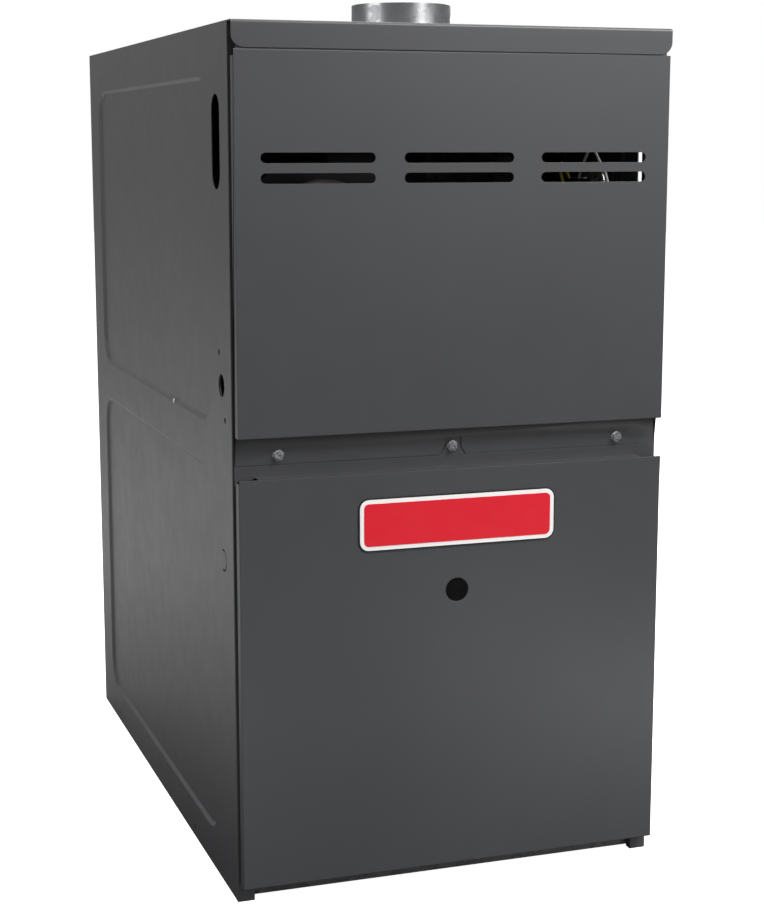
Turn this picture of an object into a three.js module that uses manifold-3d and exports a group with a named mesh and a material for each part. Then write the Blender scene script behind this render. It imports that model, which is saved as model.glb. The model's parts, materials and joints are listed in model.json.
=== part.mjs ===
// Upflow forced air gas furnace, 80 % class, as one assembly of separate named pieces.
// Units are millimetres, +Z is up, the doors face -Y and +X is to the right of someone facing them.
// The origin is on the floor under the middle of the cabinet, doors included.

import * as THREE from 'three';
import { mergeVertices } from 'three/addons/utils/BufferGeometryUtils.js';
import Module from 'manifold-3d';

const wasm = await Module();
wasm.setup();

// ---------------------------------------------------------------- driving dimensions

// Cabinet
const CABINET_WIDTH = 444.5;
const CABINET_DEPTH = 711.2;
const CABINET_HEIGHT = 847.7;
const CABINET_SHEET = 1.2;
const FRONT_RETURN_WIDTH = 17.2;
const FRONT_RETURN_LIP = 9;
const CLEARANCE = 0.3;
const OVERRUN = 5;
const LAP = 1;

// Doors
const DOOR_SHEET = 1;
const DOOR_SIDE_INSET = 1.75;
const DOOR_SIDE_FLANGE = 11.5;
const APRON_SETBACK = 14.8;
const DOOR_JOINT_GAP = 0.5;
const APRON_LAP = 8;
const UPPER_DOOR_RISE = 5.1;
const LOWER_DOOR_DROP = 33.8;
const LOWER_DOOR_BOTTOM = 18.7;
const APRON_JOINT_DROP = 22.8;
const DOOR_SCREW_DROP = 13.7;
const DOOR_SCREW_SPREAD = 355;
const DOOR_SCREW_WASHER = { radius: 5.6, thickness: 1.2 };
const DOOR_SCREW_HEX = { radius: 4.5, height: 5 };
const DOOR_SCREW_SHANK = 2.1;
const DOOR_SCREW_HOLE = 2.6;
const LEDGE_CORNER_RELIEF = 20;
const TONGUE_HEIGHT = 17;
const TONGUE_CLEARANCE = 0.6;
const TONGUE_INSET = 3;
const FLANGE_GAPS = { upper: 6, lower: 3 };
const TAB_BASE_WIDTH = 26;
const TAB_HEAD_RADIUS = 7.5;
const TAB_HEAD_DROP = 1;
const TAB_NOTCH_GAP = 1.5;
const LATCH_LIP_HEIGHT = 12;
const LATCH_LIP_INSET = 40;

// Combustion air louvres in the upper door
const LOUVRE_LENGTH = 111.5;
const LOUVRE_HEIGHT = 9.6;
const LOUVRE_PITCH_X = 140.2;
const LOUVRE_TOP_DROP = 97.9;
const LOUVRE_ROW_PITCH = 18.8;
const LOUVRES_PER_ROW = 3;
const LOUVRE_ROWS = 2;
const LOUVRE_END_STEPS = 5;

// Sight hole in the lower door
const SIGHT_HOLE_RADIUS = 12;
const SIGHT_HOLE_HEIGHT = 302.8;
const SIGHT_HOLE_SIDES = 36;
const SIGHT_GLASS_RADIUS = 17;
const SIGHT_GLASS_THICKNESS = 1.5;

// Top plate
const TOP_FLANGE_HEIGHT = 25;
const TOP_FLANGE_CORNER = 12;
const TOP_BEND_RADIUS = 3;
const SUPPLY_OPENING_WIDTH = 406;
const SUPPLY_OPENING_REAR_EDGE = 14;
const SUPPLY_OPENING_FRONT_EDGE = 14;

// Flue collar
const COLLAR_RADIUS = 50.8;
const COLLAR_SHEET = 0.8;
const COLLAR_RISE = 28;
const COLLAR_SETBACK = 168;
const COLLAR_BRIM = 11;
const COLLAR_SIDES = 28;
const COLLAR_FOOT_GAP = 4;

// Side panel pressings and holes, measured back from the door face
const PRESSING_DEPTH = 3;
const PRESSING_SLOPE = 3.5;
const PRESSING_CORNER = 34;
const PRESSING_FRONT = 96;
const PRESSING_REAR_EDGE = 56;
const UPPER_PRESSING_RISE = 6.8;
const UPPER_PRESSING_DROP = 46.7;
const LOWER_PRESSING_FOOT = 39;
const LOWER_PRESSING_DROP = 38.2;
const SIDE_SLOT_FRONT = 48.3;
const SIDE_SLOT_WIDTHS = { left: 31.5, right: 18.4 };
const SIDE_SLOT_DROP = 109.2;
const SIDE_SLOT_LENGTH = 89;
const SIDE_SLOT_END_STEPS = 7;
const WIRE_HOLE_RISE = 50.1;
const WIRE_HOLE_SETBACK = 54.5;
const WIRE_HOLE_RADIUS = 11.1;
const WIRE_HOLE_SIDES = 20;
const WIRE_KNOCKOUT = { setback: 55, height: 336.7, radius: 11.1, cut: 1.6 };
const SMALL_HOLE_RADIUS = 3;
const UPPER_SMALL_HOLES = [{ setback: 62.7, rise: 81.5 }, { setback: 42.5, rise: 17.7 }];
const FOOT_HOLE_HEIGHT = 11;
const FOOT_HOLE_SETBACK = 200;
const FOOT_HOLE_REAR = 102.2;

// Base pan
const BASE_PAN_HEIGHT = 21;
const BASE_PAN_FLANGE_FOOT = 2;
const RETURN_OPENING_MARGIN_X = 40;
const RETURN_OPENING_MARGIN_Y = 52;
const RETURN_OPENING_CORNER = 10;

// Blower deck
const DECK_HEIGHT = 458.2;
const DECK_SHEET = 1.2;
const DECK_SIDE_FLANGE = 16;
const DECK_FLANGE_SETBACK = 4;
const DECK_RAIL_DROP = 33.6;
const DECK_WIRE_HOLE = { x: 186, setback: 66, radius: 12 };

// Vestibule
const VESTIBULE_DEPTH = 220;
const VESTIBULE_SHEET = 1.2;
const VESTIBULE_FOOT_FLANGE = 14;
const VESTIBULE_HEAD_FLANGE = 12;

// Heat exchanger
const TUBE_COUNT = 3;
const TUBE_PITCH = 95;
const TUBE_RADIUS = 22.2;
const TUBE_WALL = 1.2;
const PASS_PITCH = 70;
const FIRST_PASS_RISE = 51.8;
const PASS_COUNT = 4;
const REAR_BEND_SETBACK = 114.1;
const FRONT_BEND_SETBACK = 65.1;
const TUBE_SIDES = 8;
const BEND_STEPS = 4;
const SUPPORT_SETBACK = 32;
const SUPPORT_MARGIN = 14;
const SUPPORT_SHEET = 1.2;
const SUPPORT_FLANGE = 16;
const SUPPORT_ARM = 20;

// Collector box and induced draft blower
const COLLECTOR_SHEET = 1;
const COLLECTOR_MARGIN = 32;
const COLLECTOR_DROP = 104;
const COLLECTOR_RIM = 8;
const INDUCER_X = -105;
const INDUCER_DROP = 63;
const INDUCER_DEPTH = 56;
const INDUCER_WALL = 2;
const INDUCER_WHEEL_RADIUS = 54;
const INDUCER_WHEEL_DEPTH = 30;
const INDUCER_TONGUE_GAP = 8;
const INDUCER_SCROLL_GROWTH = 38;
const INDUCER_SCROLL_STEPS = 15;
const INDUCER_DUCT_DROP = 41.7;
const INDUCER_DUCT_LENGTH = 52;
const INDUCER_DUCT_SIDES = 16;
const INDUCER_SPIGOT = 22;
const INDUCER_FLANGE = { width: 5, thickness: 1.6, corner: 3 };
const INDUCER_INLET_RADIUS = 30;
const INDUCER_SHAFT_RADIUS = 4;
const INDUCER_SHAFT_HOLE = 6;
const INDUCER_SHAFT_REACH = 6;
const INDUCER_BLADES = 7;
const INDUCER_BLADE = { inner: 16, lean: -0.5, thickness: 1.6 };
const INDUCER_DISC_GAP = 6;
const INDUCER_HUB = { radius: 10, front: 3, rear: 6 };
const INDUCER_MOTOR_RADIUS = 45;
const INDUCER_MOTOR_LENGTH = 62;
const INDUCER_MOTOR_STANDOFF = 13;
const INDUCER_MOTOR_LEG = { radius: 4, inset: 7, lap: 20 };
const INDUCER_MOTOR_SIDES = 16;
const COOLING_FAN_RADIUS = 34;
const COOLING_FAN_BLADES = 5;
const COOLING_FAN_DEPTH = 8;
const COOLING_FAN_HUB = 11;
const COOLING_FAN_BLADE = { width: 15, thickness: 1.6, pitch: 0.42, root: 4 };
const COOLING_FAN_GAP = 2;

// Burners and gas train
const BURNER_HEAD_RADIUS = 19;
const BURNER_TUBE_RADIUS = 13.5;
const BURNER_BELL_RADIUS = 21;
const BURNER_WALL = 1.2;
const BURNER_FLAME_GAP = 38;
const BURNER_LENGTH = 118;
const BURNER_SIDES = 10;
const RACK_HALF_WIDTH = 140;
const RACK_SHEET = 1.2;
const RACK_FLOOR_DROP = 30;
const RACK_ROOF_RISE = 36;
const RACK_ARM_HEIGHT = 34;
const RACK_ARM_REACH = 14;
const RACK_NECK_SETBACK = 52;
const RACK_HEAD_SETBACK = 14;
const RACK_WINDOW_WIDTH = 70;
const RACK_WINDOW_MARGIN = 7;
const RACK_WINDOW_CORNER = 5;
const RACK_PORT_RADIUS = 5.5;
const MANIFOLD_RADIUS = 12;
const MANIFOLD_SETBACK = 36.9;
const MANIFOLD_RISER_X = 75;
const MANIFOLD_CAP = { rise: 2.5, length: 14 };
const MANIFOLD_FLANGE = { width: 44, depth: 34, corner: 6, thickness: 6 };
const ORIFICE_HEX = { radius: 6.5, length: 8 };
const ORIFICE_NOSE_RADIUS = 4;
const ORIFICE_LENGTH = 14;
const ORIFICE_BORE = { radius: 1.1, depth: 8 };
const VALVE_WIDTH = 62;
const VALVE_DEPTH = 50;
const VALVE_HEIGHT = 74;
const VALVE_RISE = 46;
const VALVE_CORNER = 7;
const VALVE_BODY_HEIGHT = 46;
const VALVE_COIL = { size: 38, corner: 5, right: 6, back: 2 };
const VALVE_REGULATOR = { radius: 8, left: 21, back: 4, drop: 12 };
const VALVE_INLET = { hex: 17, port: 9, reach: 10, height: 23 };
const VALVE_KNOB_RADIUS = 11;
const VALVE_KNOB_HEIGHT = 7;
const VALVE_KNOB_LEFT = 12;
const VALVE_KNOB_GRIP = { width: 5, height: 16, rise: 3 };

// Safety controls
const SWITCH_DISC_RADIUS = 12;
const SWITCH_DISC_HEIGHT = 8;
const SWITCH_BAR = { width: 40, depth: 10, thickness: 1.2 };
const SWITCH_TERMINAL = { spread: 8, thickness: 1, depth: 6, height: 8 };
const SWITCH_FLOOR = 1.5;
const RESET_BUTTON_RADIUS = 2.6;
const RESET_BUTTON_LENGTH = 9;
const RESET_BUTTON_STROKE = 1.5;
const ROLLOUT_SPREAD = 120;
const PRESSURE_SWITCH_RADIUS = 32;
const PRESSURE_SWITCH_THICKNESS = 22;
const PRESSURE_SWITCH_SETBACK = 119.1;
const PRESSURE_SWITCH_DROP = 30;
const PRESSURE_SWITCH_GAP = 4;
const PRESSURE_BRACKET = { half: 26, sheet: 1.2, foot: 4 };
const PRESSURE_NIPPLE = { radius: 3.5, length: 12 };
const PRESSURE_TERMINAL = { spread: 12, width: 6, thickness: 1, rise: 11, length: 8 };
const HOSE_PORT_X = -28;
const HOSE_PORT_DROP = 32;
const HOSE_PORT = { radius: 4, bore: 2, length: 10 };
const HOSE_RADIUS = 4.2;
const LEAD_RADIUS = 1.5;
const LEAD_SPREAD = 4;
const LIMIT_SWITCH_X = 178;
const LIMIT_SWITCH_RISE = 80;
const LIMIT_SWITCH_BAR = { width: 48, height: 22, thickness: 1.2 };
const LIMIT_PROBE = { radius: 5.5, hole: 6.5, length: 70 };
const IGNITER_SETBACK = 19;
const IGNITER_BLOCK = { length: 18, half: 9 };
const IGNITER_STEM = { radius: 4.8, length: 12 };
const IGNITER_ELEMENT = { spread: 2.5, half: 1.2, start: 11, end: 45 };
const SENSOR_PLATE = { thickness: 3, half: 10, below: 8, above: 14 };
const SENSOR_STEM = { radius: 4.8, inside: 10, outside: 14 };
const SENSOR_ROD = { radius: 1.6, length: 46 };
const SENSOR_TERMINAL = { start: 13, end: 20, half: 3, thickness: 1 };
const JUNCTION_BOX = { setback: 16, depth: 62, reach: 52, below: 44, above: 42 };
const JUNCTION_COVER = { thickness: 1, edge: 1, knob: 6, rise: 2.5 };

// Blower
const BLOWER_SETBACK = 304.1;
const BLOWER_Z = 230;
const BLOWER_WHEEL_RADIUS = 127;
const BLOWER_WHEEL_WIDTH = 200;
const BLOWER_HOUSING_WIDTH = 240;
const BLOWER_SHEET = 1.2;
const BLOWER_TONGUE_GAP = 11;
const BLOWER_SCROLL_GROWTH = 62;
const BLOWER_INLET_RADIUS = 108;
const BLOWER_FLANGE = 16;
const BLOWER_SCROLL_STEPS = 22;
const BLOWER_INLET_RING = { width: 5, depth: 6, sides: 24 };
const BLOWER_BLADES = 24;
const BLADE_RADIAL_DEPTH = 17;
const BLADE_THICKNESS = 1.4;
const BLADE_LEAN = 0.09;
const BLOWER_SHAFT_RADIUS = 6.35;
const BLOWER_SHAFT_REACH = 34;
const BLOWER_BORE_GAP = 0.35;
const RIM_WIDTH = 6;
const HUB_RADIUS = 16;
const HUB_DISC_X = -12;
const HUB_LENGTHS = { left: 30, right: 8 };
const BLOWER_MOTOR_RADIUS = 68;
const BLOWER_MOTOR_START = 6;
const BLOWER_MOTOR_LENGTH = 122;
const BLOWER_MOTOR_SIDES = 20;
const MOTOR_BAND_SHEET = 2;
const MOTOR_BAND_WIDTH = 38;
const MOTOR_ARM_WIDTH = 18;
const MOTOR_ARM_THICKNESS = 2.5;
const MOTOR_ARM_OVERLAP = 26;
const CAPACITOR = { behind: 122, above: 110, height: 75, width: 32, depth: 52, corner: 15.5, gap: 1 };
const CAPACITOR_STRAP = { rise: 26, height: 14, thickness: 1, ear: 42, sheet: 1.2 };
const CAPACITOR_TERMINAL = { spread: 9, width: 6, thickness: 2, height: 9 };

// Controls in the blower compartment
const CONTROL_PANEL_SETBACK = 57.1;
const CONTROL_SHEET = 1.2;
const CONTROL_BOARD = { left: -66, right: 84, foot: 250, head: 382 };
const CONTROL_BRACKET = { left: -150, right: 92, foot: 238, head: 22, lip: 10 };
const BOARD_STANDOFF = 8;
const BOARD_THICKNESS = 1.6;
const BOARD_POST = { radius: 3, inset: 6 };
const BOARD_RELAY = { count: 3, left: 12, pitch: 30, drop: 40, width: 24, height: 28, rise: 17 };
const BOARD_TERMINAL = { count: 6, left: 14, pitch: 10, foot: 8, width: 7, height: 12, rise: 10 };
const BOARD_SOCKET = { right: 34, foot: 16, width: 22, height: 60, rise: 11 };
const BOARD_CHIP = { left: 40, foot: 70, width: 26, height: 14, rise: 5 };
const BOARD_CONNECTOR = { left: 90, foot: 96, width: 34, height: 12, rise: 12 };
const TRANSFORMER = { left: 40, height: 292 };
const TRANSFORMER_CORE = { half: 30, halfHeight: 24, front: 40, back: 6 };
const TRANSFORMER_WINDING = { width: 40, height: 64, corner: 6, front: 36, back: 10 };
const TRANSFORMER_FOOT = { half: 34, halfHeight: 10, sheet: 1.5, front: 38 };
const DOOR_SWITCH = { x: 150, drop: 59, width: 22, depth: 26, tall: 30, setback: 8 };
const DOOR_SWITCH_HANGER = { sheet: 1.5, foot: 16 };
const PLUNGER_RADIUS = 3.5;
const PLUNGER_DEPTH = 5;
const PLUNGER_STROKE = 4;

// ---------------------------------------------------------------- derived places

const HALF_WIDTH = CABINET_WIDTH / 2;
const DOOR_PROUD = APRON_SETBACK + DOOR_SHEET + DECK_SHEET;
const FACE_Y = -(CABINET_DEPTH + DOOR_PROUD) / 2;
const FRONT_Y = FACE_Y + DOOR_PROUD;
const BACK_Y = FRONT_Y + CABINET_DEPTH;
const INNER_X = HALF_WIDTH - CABINET_SHEET;
const INNER_FIT_X = INNER_X - CLEARANCE;
const PRESSED_FIT_X = INNER_FIT_X - PRESSING_DEPTH;
const INNER_BACK_FIT_Y = BACK_Y - CABINET_SHEET - CLEARANCE;
const RETURN_INNER_X = HALF_WIDTH - FRONT_RETURN_WIDTH;
const LIP_BACK_Y = FRONT_Y + FRONT_RETURN_LIP;
const WRAPPER_HEIGHT = CABINET_HEIGHT - CABINET_SHEET;
const APRON_Y = FACE_Y + APRON_SETBACK;
const DECK_UNDERSIDE = DECK_HEIGHT - DECK_SHEET;
const DECK_RAIL_FOOT = DECK_HEIGHT - DECK_RAIL_DROP;
const UPPER_DOOR_BOTTOM = DECK_HEIGHT + UPPER_DOOR_RISE;
const LOWER_DOOR_TOP = DECK_HEIGHT - LOWER_DOOR_DROP;
const APRON_JOINT_HEIGHT = DECK_HEIGHT - APRON_JOINT_DROP;
const DOOR_SCREW_HEIGHT = DECK_HEIGHT - DOOR_SCREW_DROP;
const TAB_HEAD_HEIGHT = DOOR_SCREW_HEIGHT - TAB_HEAD_DROP;
const UPPER_PRESSING = [DECK_HEIGHT + UPPER_PRESSING_RISE, CABINET_HEIGHT - UPPER_PRESSING_DROP];
const LOWER_PRESSING = [LOWER_PRESSING_FOOT, DECK_HEIGHT - LOWER_PRESSING_DROP];
const SIDE_SLOT_HEIGHT = CABINET_HEIGHT - SIDE_SLOT_DROP;
const WIRE_HOLE_HEIGHT = DECK_HEIGHT + WIRE_HOLE_RISE;
const COLLAR_Y = FACE_Y + COLLAR_SETBACK;
const VESTIBULE_Y = FRONT_Y + VESTIBULE_DEPTH;
const FIRST_PASS_HEIGHT = DECK_HEIGHT + FIRST_PASS_RISE;
const LAST_PASS_HEIGHT = FIRST_PASS_HEIGHT + (PASS_COUNT - 1) * PASS_PITCH;
const REAR_BEND_Y = BACK_Y - REAR_BEND_SETBACK;
const FRONT_BEND_Y = VESTIBULE_Y + FRONT_BEND_SETBACK;
const COLLECTOR_FOOT = LAST_PASS_HEIGHT - COLLECTOR_DROP;
const COLLECTOR_FRONT_Y = COLLAR_Y + INDUCER_DEPTH / 2;
const INDUCER_FRONT_Y = COLLECTOR_FRONT_Y - INDUCER_DEPTH;
const INDUCER_Z = LAST_PASS_HEIGHT - INDUCER_DROP;
const INDUCER_DUCT_TOP = CABINET_HEIGHT - INDUCER_DUCT_DROP;
const INDUCER_DUCT_BASE = Math.max(INDUCER_Z + INDUCER_WHEEL_RADIUS + INDUCER_TONGUE_GAP,
  INDUCER_DUCT_TOP - INDUCER_DUCT_LENGTH);
const BURNER_END_Y = VESTIBULE_Y - BURNER_FLAME_GAP;
const BURNER_START_Y = BURNER_END_Y - BURNER_LENGTH;
const MANIFOLD_Y = BURNER_START_Y - MANIFOLD_SETBACK;
const VALVE_FOOT = FIRST_PASS_HEIGHT + VALVE_RISE;
const LIMIT_SWITCH_Z = FIRST_PASS_HEIGHT + LIMIT_SWITCH_RISE;
const PRESSURE_SWITCH_PLACE = [FRONT_Y + PRESSURE_SWITCH_SETBACK, LAST_PASS_HEIGHT - PRESSURE_SWITCH_DROP];
const HOSE_PORT_PLACE = [HOSE_PORT_X, LAST_PASS_HEIGHT - HOSE_PORT_DROP];
const BLOWER_Y = BACK_Y - BLOWER_SETBACK;
const CONTROL_PANEL_Y = FRONT_Y + CONTROL_PANEL_SETBACK;
const DOOR_SWITCH_HEIGHT = DECK_UNDERSIDE - DOOR_SWITCH.drop;
const TUBE_XS = Array.from({ length: TUBE_COUNT }, (_, i) => (i - (TUBE_COUNT - 1) / 2) * TUBE_PITCH);
const DOOR_HALF_WIDTH = HALF_WIDTH - DOOR_SIDE_INSET;
const UPPER_DOOR_TOP = CABINET_HEIGHT - TOP_FLANGE_HEIGHT - LAP;
const LOUVRE_TOP_ROW = UPPER_DOOR_TOP - LOUVRE_TOP_DROP;

// ---------------------------------------------------------------- solids by code

/** A closed geometry as a solid, with its shared corners merged. */
function solid(geometry) {
  const bare = new THREE.BufferGeometry();
  bare.setAttribute('position', geometry.getAttribute('position'));
  bare.setIndex(geometry.getIndex());
  const merged = mergeVertices(bare, 1e-4);
  return new wasm.Manifold(new wasm.Mesh({
    numProp: 3,
    vertProperties: new Float32Array(merged.getAttribute('position').array),
    triVerts: new Uint32Array(merged.getIndex().array),
  }));
}

/** A solid back as a geometry with its own normals. */
function geometryOf(body) {
  const mesh = body.getMesh();
  const geometry = new THREE.BufferGeometry();
  geometry.setAttribute('position', new THREE.BufferAttribute(new Float32Array(mesh.vertProperties), 3));
  geometry.setIndex(new THREE.BufferAttribute(new Uint32Array(mesh.triVerts), 1));
  geometry.computeVertexNormals();
  return geometry;
}

/** All the solids joined to one. */
const join = (...bodies) => bodies.reduce((whole, next) => whole.add(next));

/** The first solid less all the others. */
const cut = (whole, ...bodies) => bodies.reduce((rest, next) => rest.subtract(next), whole);

/** A box from low to high on each axis. */
function block(x0, x1, y0, y1, z0, z1) {
  const geometry = new THREE.BoxGeometry(x1 - x0, y1 - y0, z1 - z0);
  geometry.translate((x0 + x1) / 2, (y0 + y1) / 2, (z0 + z1) / 2);
  return solid(geometry);
}

const extrude = (shape, depth) =>
  new THREE.ExtrudeGeometry(shape, { depth, bevelEnabled: false, curveSegments: 8 });

/** A plan shape (x, y) from z0 up to z1. */
const prismZ = (shape, z0, z1) => solid(extrude(shape, z1 - z0).translate(0, 0, z0));

/** A front shape (x, z) from y0 back to y1. */
const prismY = (shape, y0, y1) => solid(extrude(shape, y1 - y0).rotateX(Math.PI / 2).translate(0, y1, 0));

/** A side shape (y, z) from x0 right to x1. */
function prismX(shape, x0, x1) {
  const turn = new THREE.Matrix4().makeBasis(
    new THREE.Vector3(0, 1, 0), new THREE.Vector3(0, 0, 1), new THREE.Vector3(1, 0, 0));
  return solid(extrude(shape, x1 - x0).applyMatrix4(turn).translate(x0, 0, 0));
}

const AXES = { x: new THREE.Vector3(1, 0, 0), y: new THREE.Vector3(0, 1, 0), z: new THREE.Vector3(0, 0, 1) };

/** Turns a geometry made about +Y so that +Y points along the named axis. */
const aim = (geometry, axis) =>
  geometry.applyQuaternion(new THREE.Quaternion().setFromUnitVectors(AXES.y, AXES[axis]));

/** A round bar along an axis from low to high, centred on the other two coordinates. */
function bar(axis, radius, low, high, centre, sides = 12) {
  const geometry = aim(new THREE.CylinderGeometry(radius, radius, high - low, sides), axis);
  const place = { x: [(low + high) / 2, ...centre], y: [centre[0], (low + high) / 2, centre[1]],
    z: [...centre, (low + high) / 2] }[axis];
  return solid(geometry.translate(...place));
}

/** A hexagonal bar along Y, `across` its corners' radius. */
const hexBar = (radius, y0, y1, x, z) => bar('y', radius, y0, y1, [x, z], 6);

/** A turned solid: profile of [radius, height] pairs about the named axis, from the given place. */
function turned(profile, axis, place, sides = 20) {
  const points = profile.map(([r, h]) => new THREE.Vector2(r, h));
  if (THREE.ShapeUtils.area(points) < 0) points.reverse();
  return solid(aim(new THREE.LatheGeometry(points, sides), axis).translate(...place));
}

/** The corner points of a rectangle with round corners, centred on (cx, cy), each corner in equal steps. */
function roundedCorners(cx, cy, width, height, radius, steps = 3) {
  return [[1, -1], [1, 1], [-1, 1], [-1, -1]].flatMap(([u, v], corner) =>
    Array.from({ length: steps + 1 }, (_, i) => {
      const angle = ((corner - 1 + i / steps) * Math.PI) / 2;
      return new THREE.Vector2(cx + u * (width / 2 - radius) + radius * Math.cos(angle),
        cy + v * (height / 2 - radius) + radius * Math.sin(angle));
    }));
}

/** A rectangle with round corners as a shape. */
const roundedRectangle = (cx, cy, width, height, radius, steps) =>
  new THREE.Shape(roundedCorners(cx, cy, width, height, radius, steps));

/** A sheet's section: an open line of [u, v] points made `thickness` thick on its left side. */
function sheetSection(points, thickness) {
  const line = points.map(([u, v]) => new THREE.Vector2(u, v));
  const leftOf = (a, b) => new THREE.Vector2(a.y - b.y, b.x - a.x).normalize();
  const offset = line.map((point, i) => {
    const before = i > 0 ? leftOf(line[i - 1], point) : leftOf(point, line[i + 1]);
    const after = i < line.length - 1 ? leftOf(point, line[i + 1]) : before;
    const mitre = before.clone().add(after);
    return point.clone().addScaledVector(mitre, (2 * thickness) / mitre.lengthSq());
  });
  return new THREE.Shape([...line, ...offset.reverse()]);
}

/** A closed skin over rings of equal point count, with flat ends. */
function loft(rings) {
  const count = rings[0].length;
  const positions = rings.flat().flatMap((p) => [p.x, p.y, p.z]);
  const indices = [];
  for (let r = 0; r < rings.length - 1; r += 1) {
    for (let i = 0; i < count; i += 1) {
      const [a, b] = [r * count + i, r * count + ((i + 1) % count)];
      indices.push(a, b, b + count, a, b + count, a + count);
    }
  }
  const last = (rings.length - 1) * count;
  for (let i = 1; i < count - 1; i += 1) {
    indices.push(0, i + 1, i);
    indices.push(last, last + i, last + i + 1);
  }
  const geometry = new THREE.BufferGeometry();
  geometry.setAttribute('position', new THREE.BufferAttribute(new Float32Array(positions), 3));
  geometry.setIndex(indices);
  return geometry;
}

/** A round bar swept along points: each ring stands square to the route. */
function sweep(points, radius, sides) {
  const route = points.map((p) => new THREE.Vector3(...p));
  const tangentAt = (i) => route[Math.min(i + 1, route.length - 1)].clone()
    .sub(route[Math.max(i - 1, 0)]).normalize();
  const start = tangentAt(0);
  const helper = Math.abs(start.x) < 0.7 ? AXES.x : AXES.z;
  let normal = helper.clone().addScaledVector(start, -helper.dot(start)).normalize();
  const rings = route.map((centre, i) => {
    const tangent = tangentAt(i);
    normal = normal.clone().addScaledVector(tangent, -normal.dot(tangent)).normalize();
    const side = tangent.clone().cross(normal);
    return Array.from({ length: sides }, (_, k) => {
      const angle = (2 * Math.PI * k) / sides;
      return centre.clone().addScaledVector(normal, radius * Math.cos(angle))
        .addScaledVector(side, radius * Math.sin(angle));
    });
  });
  return solid(loft(rings));
}

/** A soft line through chosen points, as a route for sweep. */
function softRoute(points, steps) {
  const curve = new THREE.CatmullRomCurve3(points.map((p) => new THREE.Vector3(...p)), false, 'centripetal');
  return curve.getSpacedPoints(steps).map((p) => [p.x, p.y, p.z]);
}

const root = new THREE.Group();

/** Adds one named piece with its own material to the furnace. */
function piece(name, body, color, roughness = 0.5, metalness = 0) {
  const mesh = new THREE.Mesh(geometryOf(body), new THREE.MeshStandardMaterial({ color, roughness, metalness }));
  mesh.name = name;
  root.add(mesh);
}

const PAINT = 0x4a4b4d;
const GALVANISED = 0xa9adb0;
const ALUMINISED = 0x8f9396;
const BLACK_PAINT = 0x242526;

// ---------------------------------------------------------------- cabinet

/** One pressed panel in a side wall: the pocket outside, or the dish it makes inside. */
function pressing(side, [foot, head], grow, depth) {
  const front = FACE_Y + PRESSING_FRONT;
  const rear = BACK_Y - PRESSING_REAR_EDGE;
  const outline = (inset) => roundedCorners((front + rear) / 2, (foot + head) / 2,
    rear - front - 2 * inset + 2 * grow, head - foot - 2 * inset + 2 * grow, PRESSING_CORNER - inset + grow);
  const ring = (inset, inward) => outline(inset)
    .map((p) => new THREE.Vector3(side * (HALF_WIDTH - inward), p.x, p.y));
  const rings = [ring(-PRESSING_SLOPE / PRESSING_DEPTH, -1), ring(PRESSING_SLOPE, depth)];
  return solid(loft(side > 0 ? rings.reverse() : rings));
}

/** A round cut through both side walls. */
const sideHole = (setback, height, radius, sides) =>
  bar('x', radius, -HALF_WIDTH - OVERRUN, HALF_WIDTH + OVERRUN, [FACE_Y + setback, height], sides);

/** The obround cut of one side wall's slot, which starts at the same setback on both sides. */
function sideSlot(side) {
  const width = side > 0 ? SIDE_SLOT_WIDTHS.right : SIDE_SLOT_WIDTHS.left;
  const outline = roundedRectangle(FACE_Y + SIDE_SLOT_FRONT + width / 2, SIDE_SLOT_HEIGHT, width, SIDE_SLOT_LENGTH,
    width / 2 - 0.01, SIDE_SLOT_END_STEPS);
  return side > 0 ? prismX(outline, INNER_X - OVERRUN, HALF_WIDTH + OVERRUN)
    : prismX(outline, -HALF_WIDTH - OVERRUN, OVERRUN - INNER_X);
}

/** The crescent that a half-cut knockout leaves open. */
function knockoutCrescent() {
  const { setback, height, radius, cut: width } = WIRE_KNOCKOUT;
  const centre = [FACE_Y + setback, height];
  const arc = (r) => Array.from({ length: 9 }, (_, i) => {
    const angle = (0.35 + (1.3 * i) / 8) * Math.PI;
    return new THREE.Vector2(centre[0] + r * Math.cos(angle), centre[1] + r * Math.sin(angle));
  });
  return prismX(new THREE.Shape([...arc(radius), ...arc(radius - width).reverse()]), -HALF_WIDTH - OVERRUN,
    OVERRUN - HALF_WIDTH);
}

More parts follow.
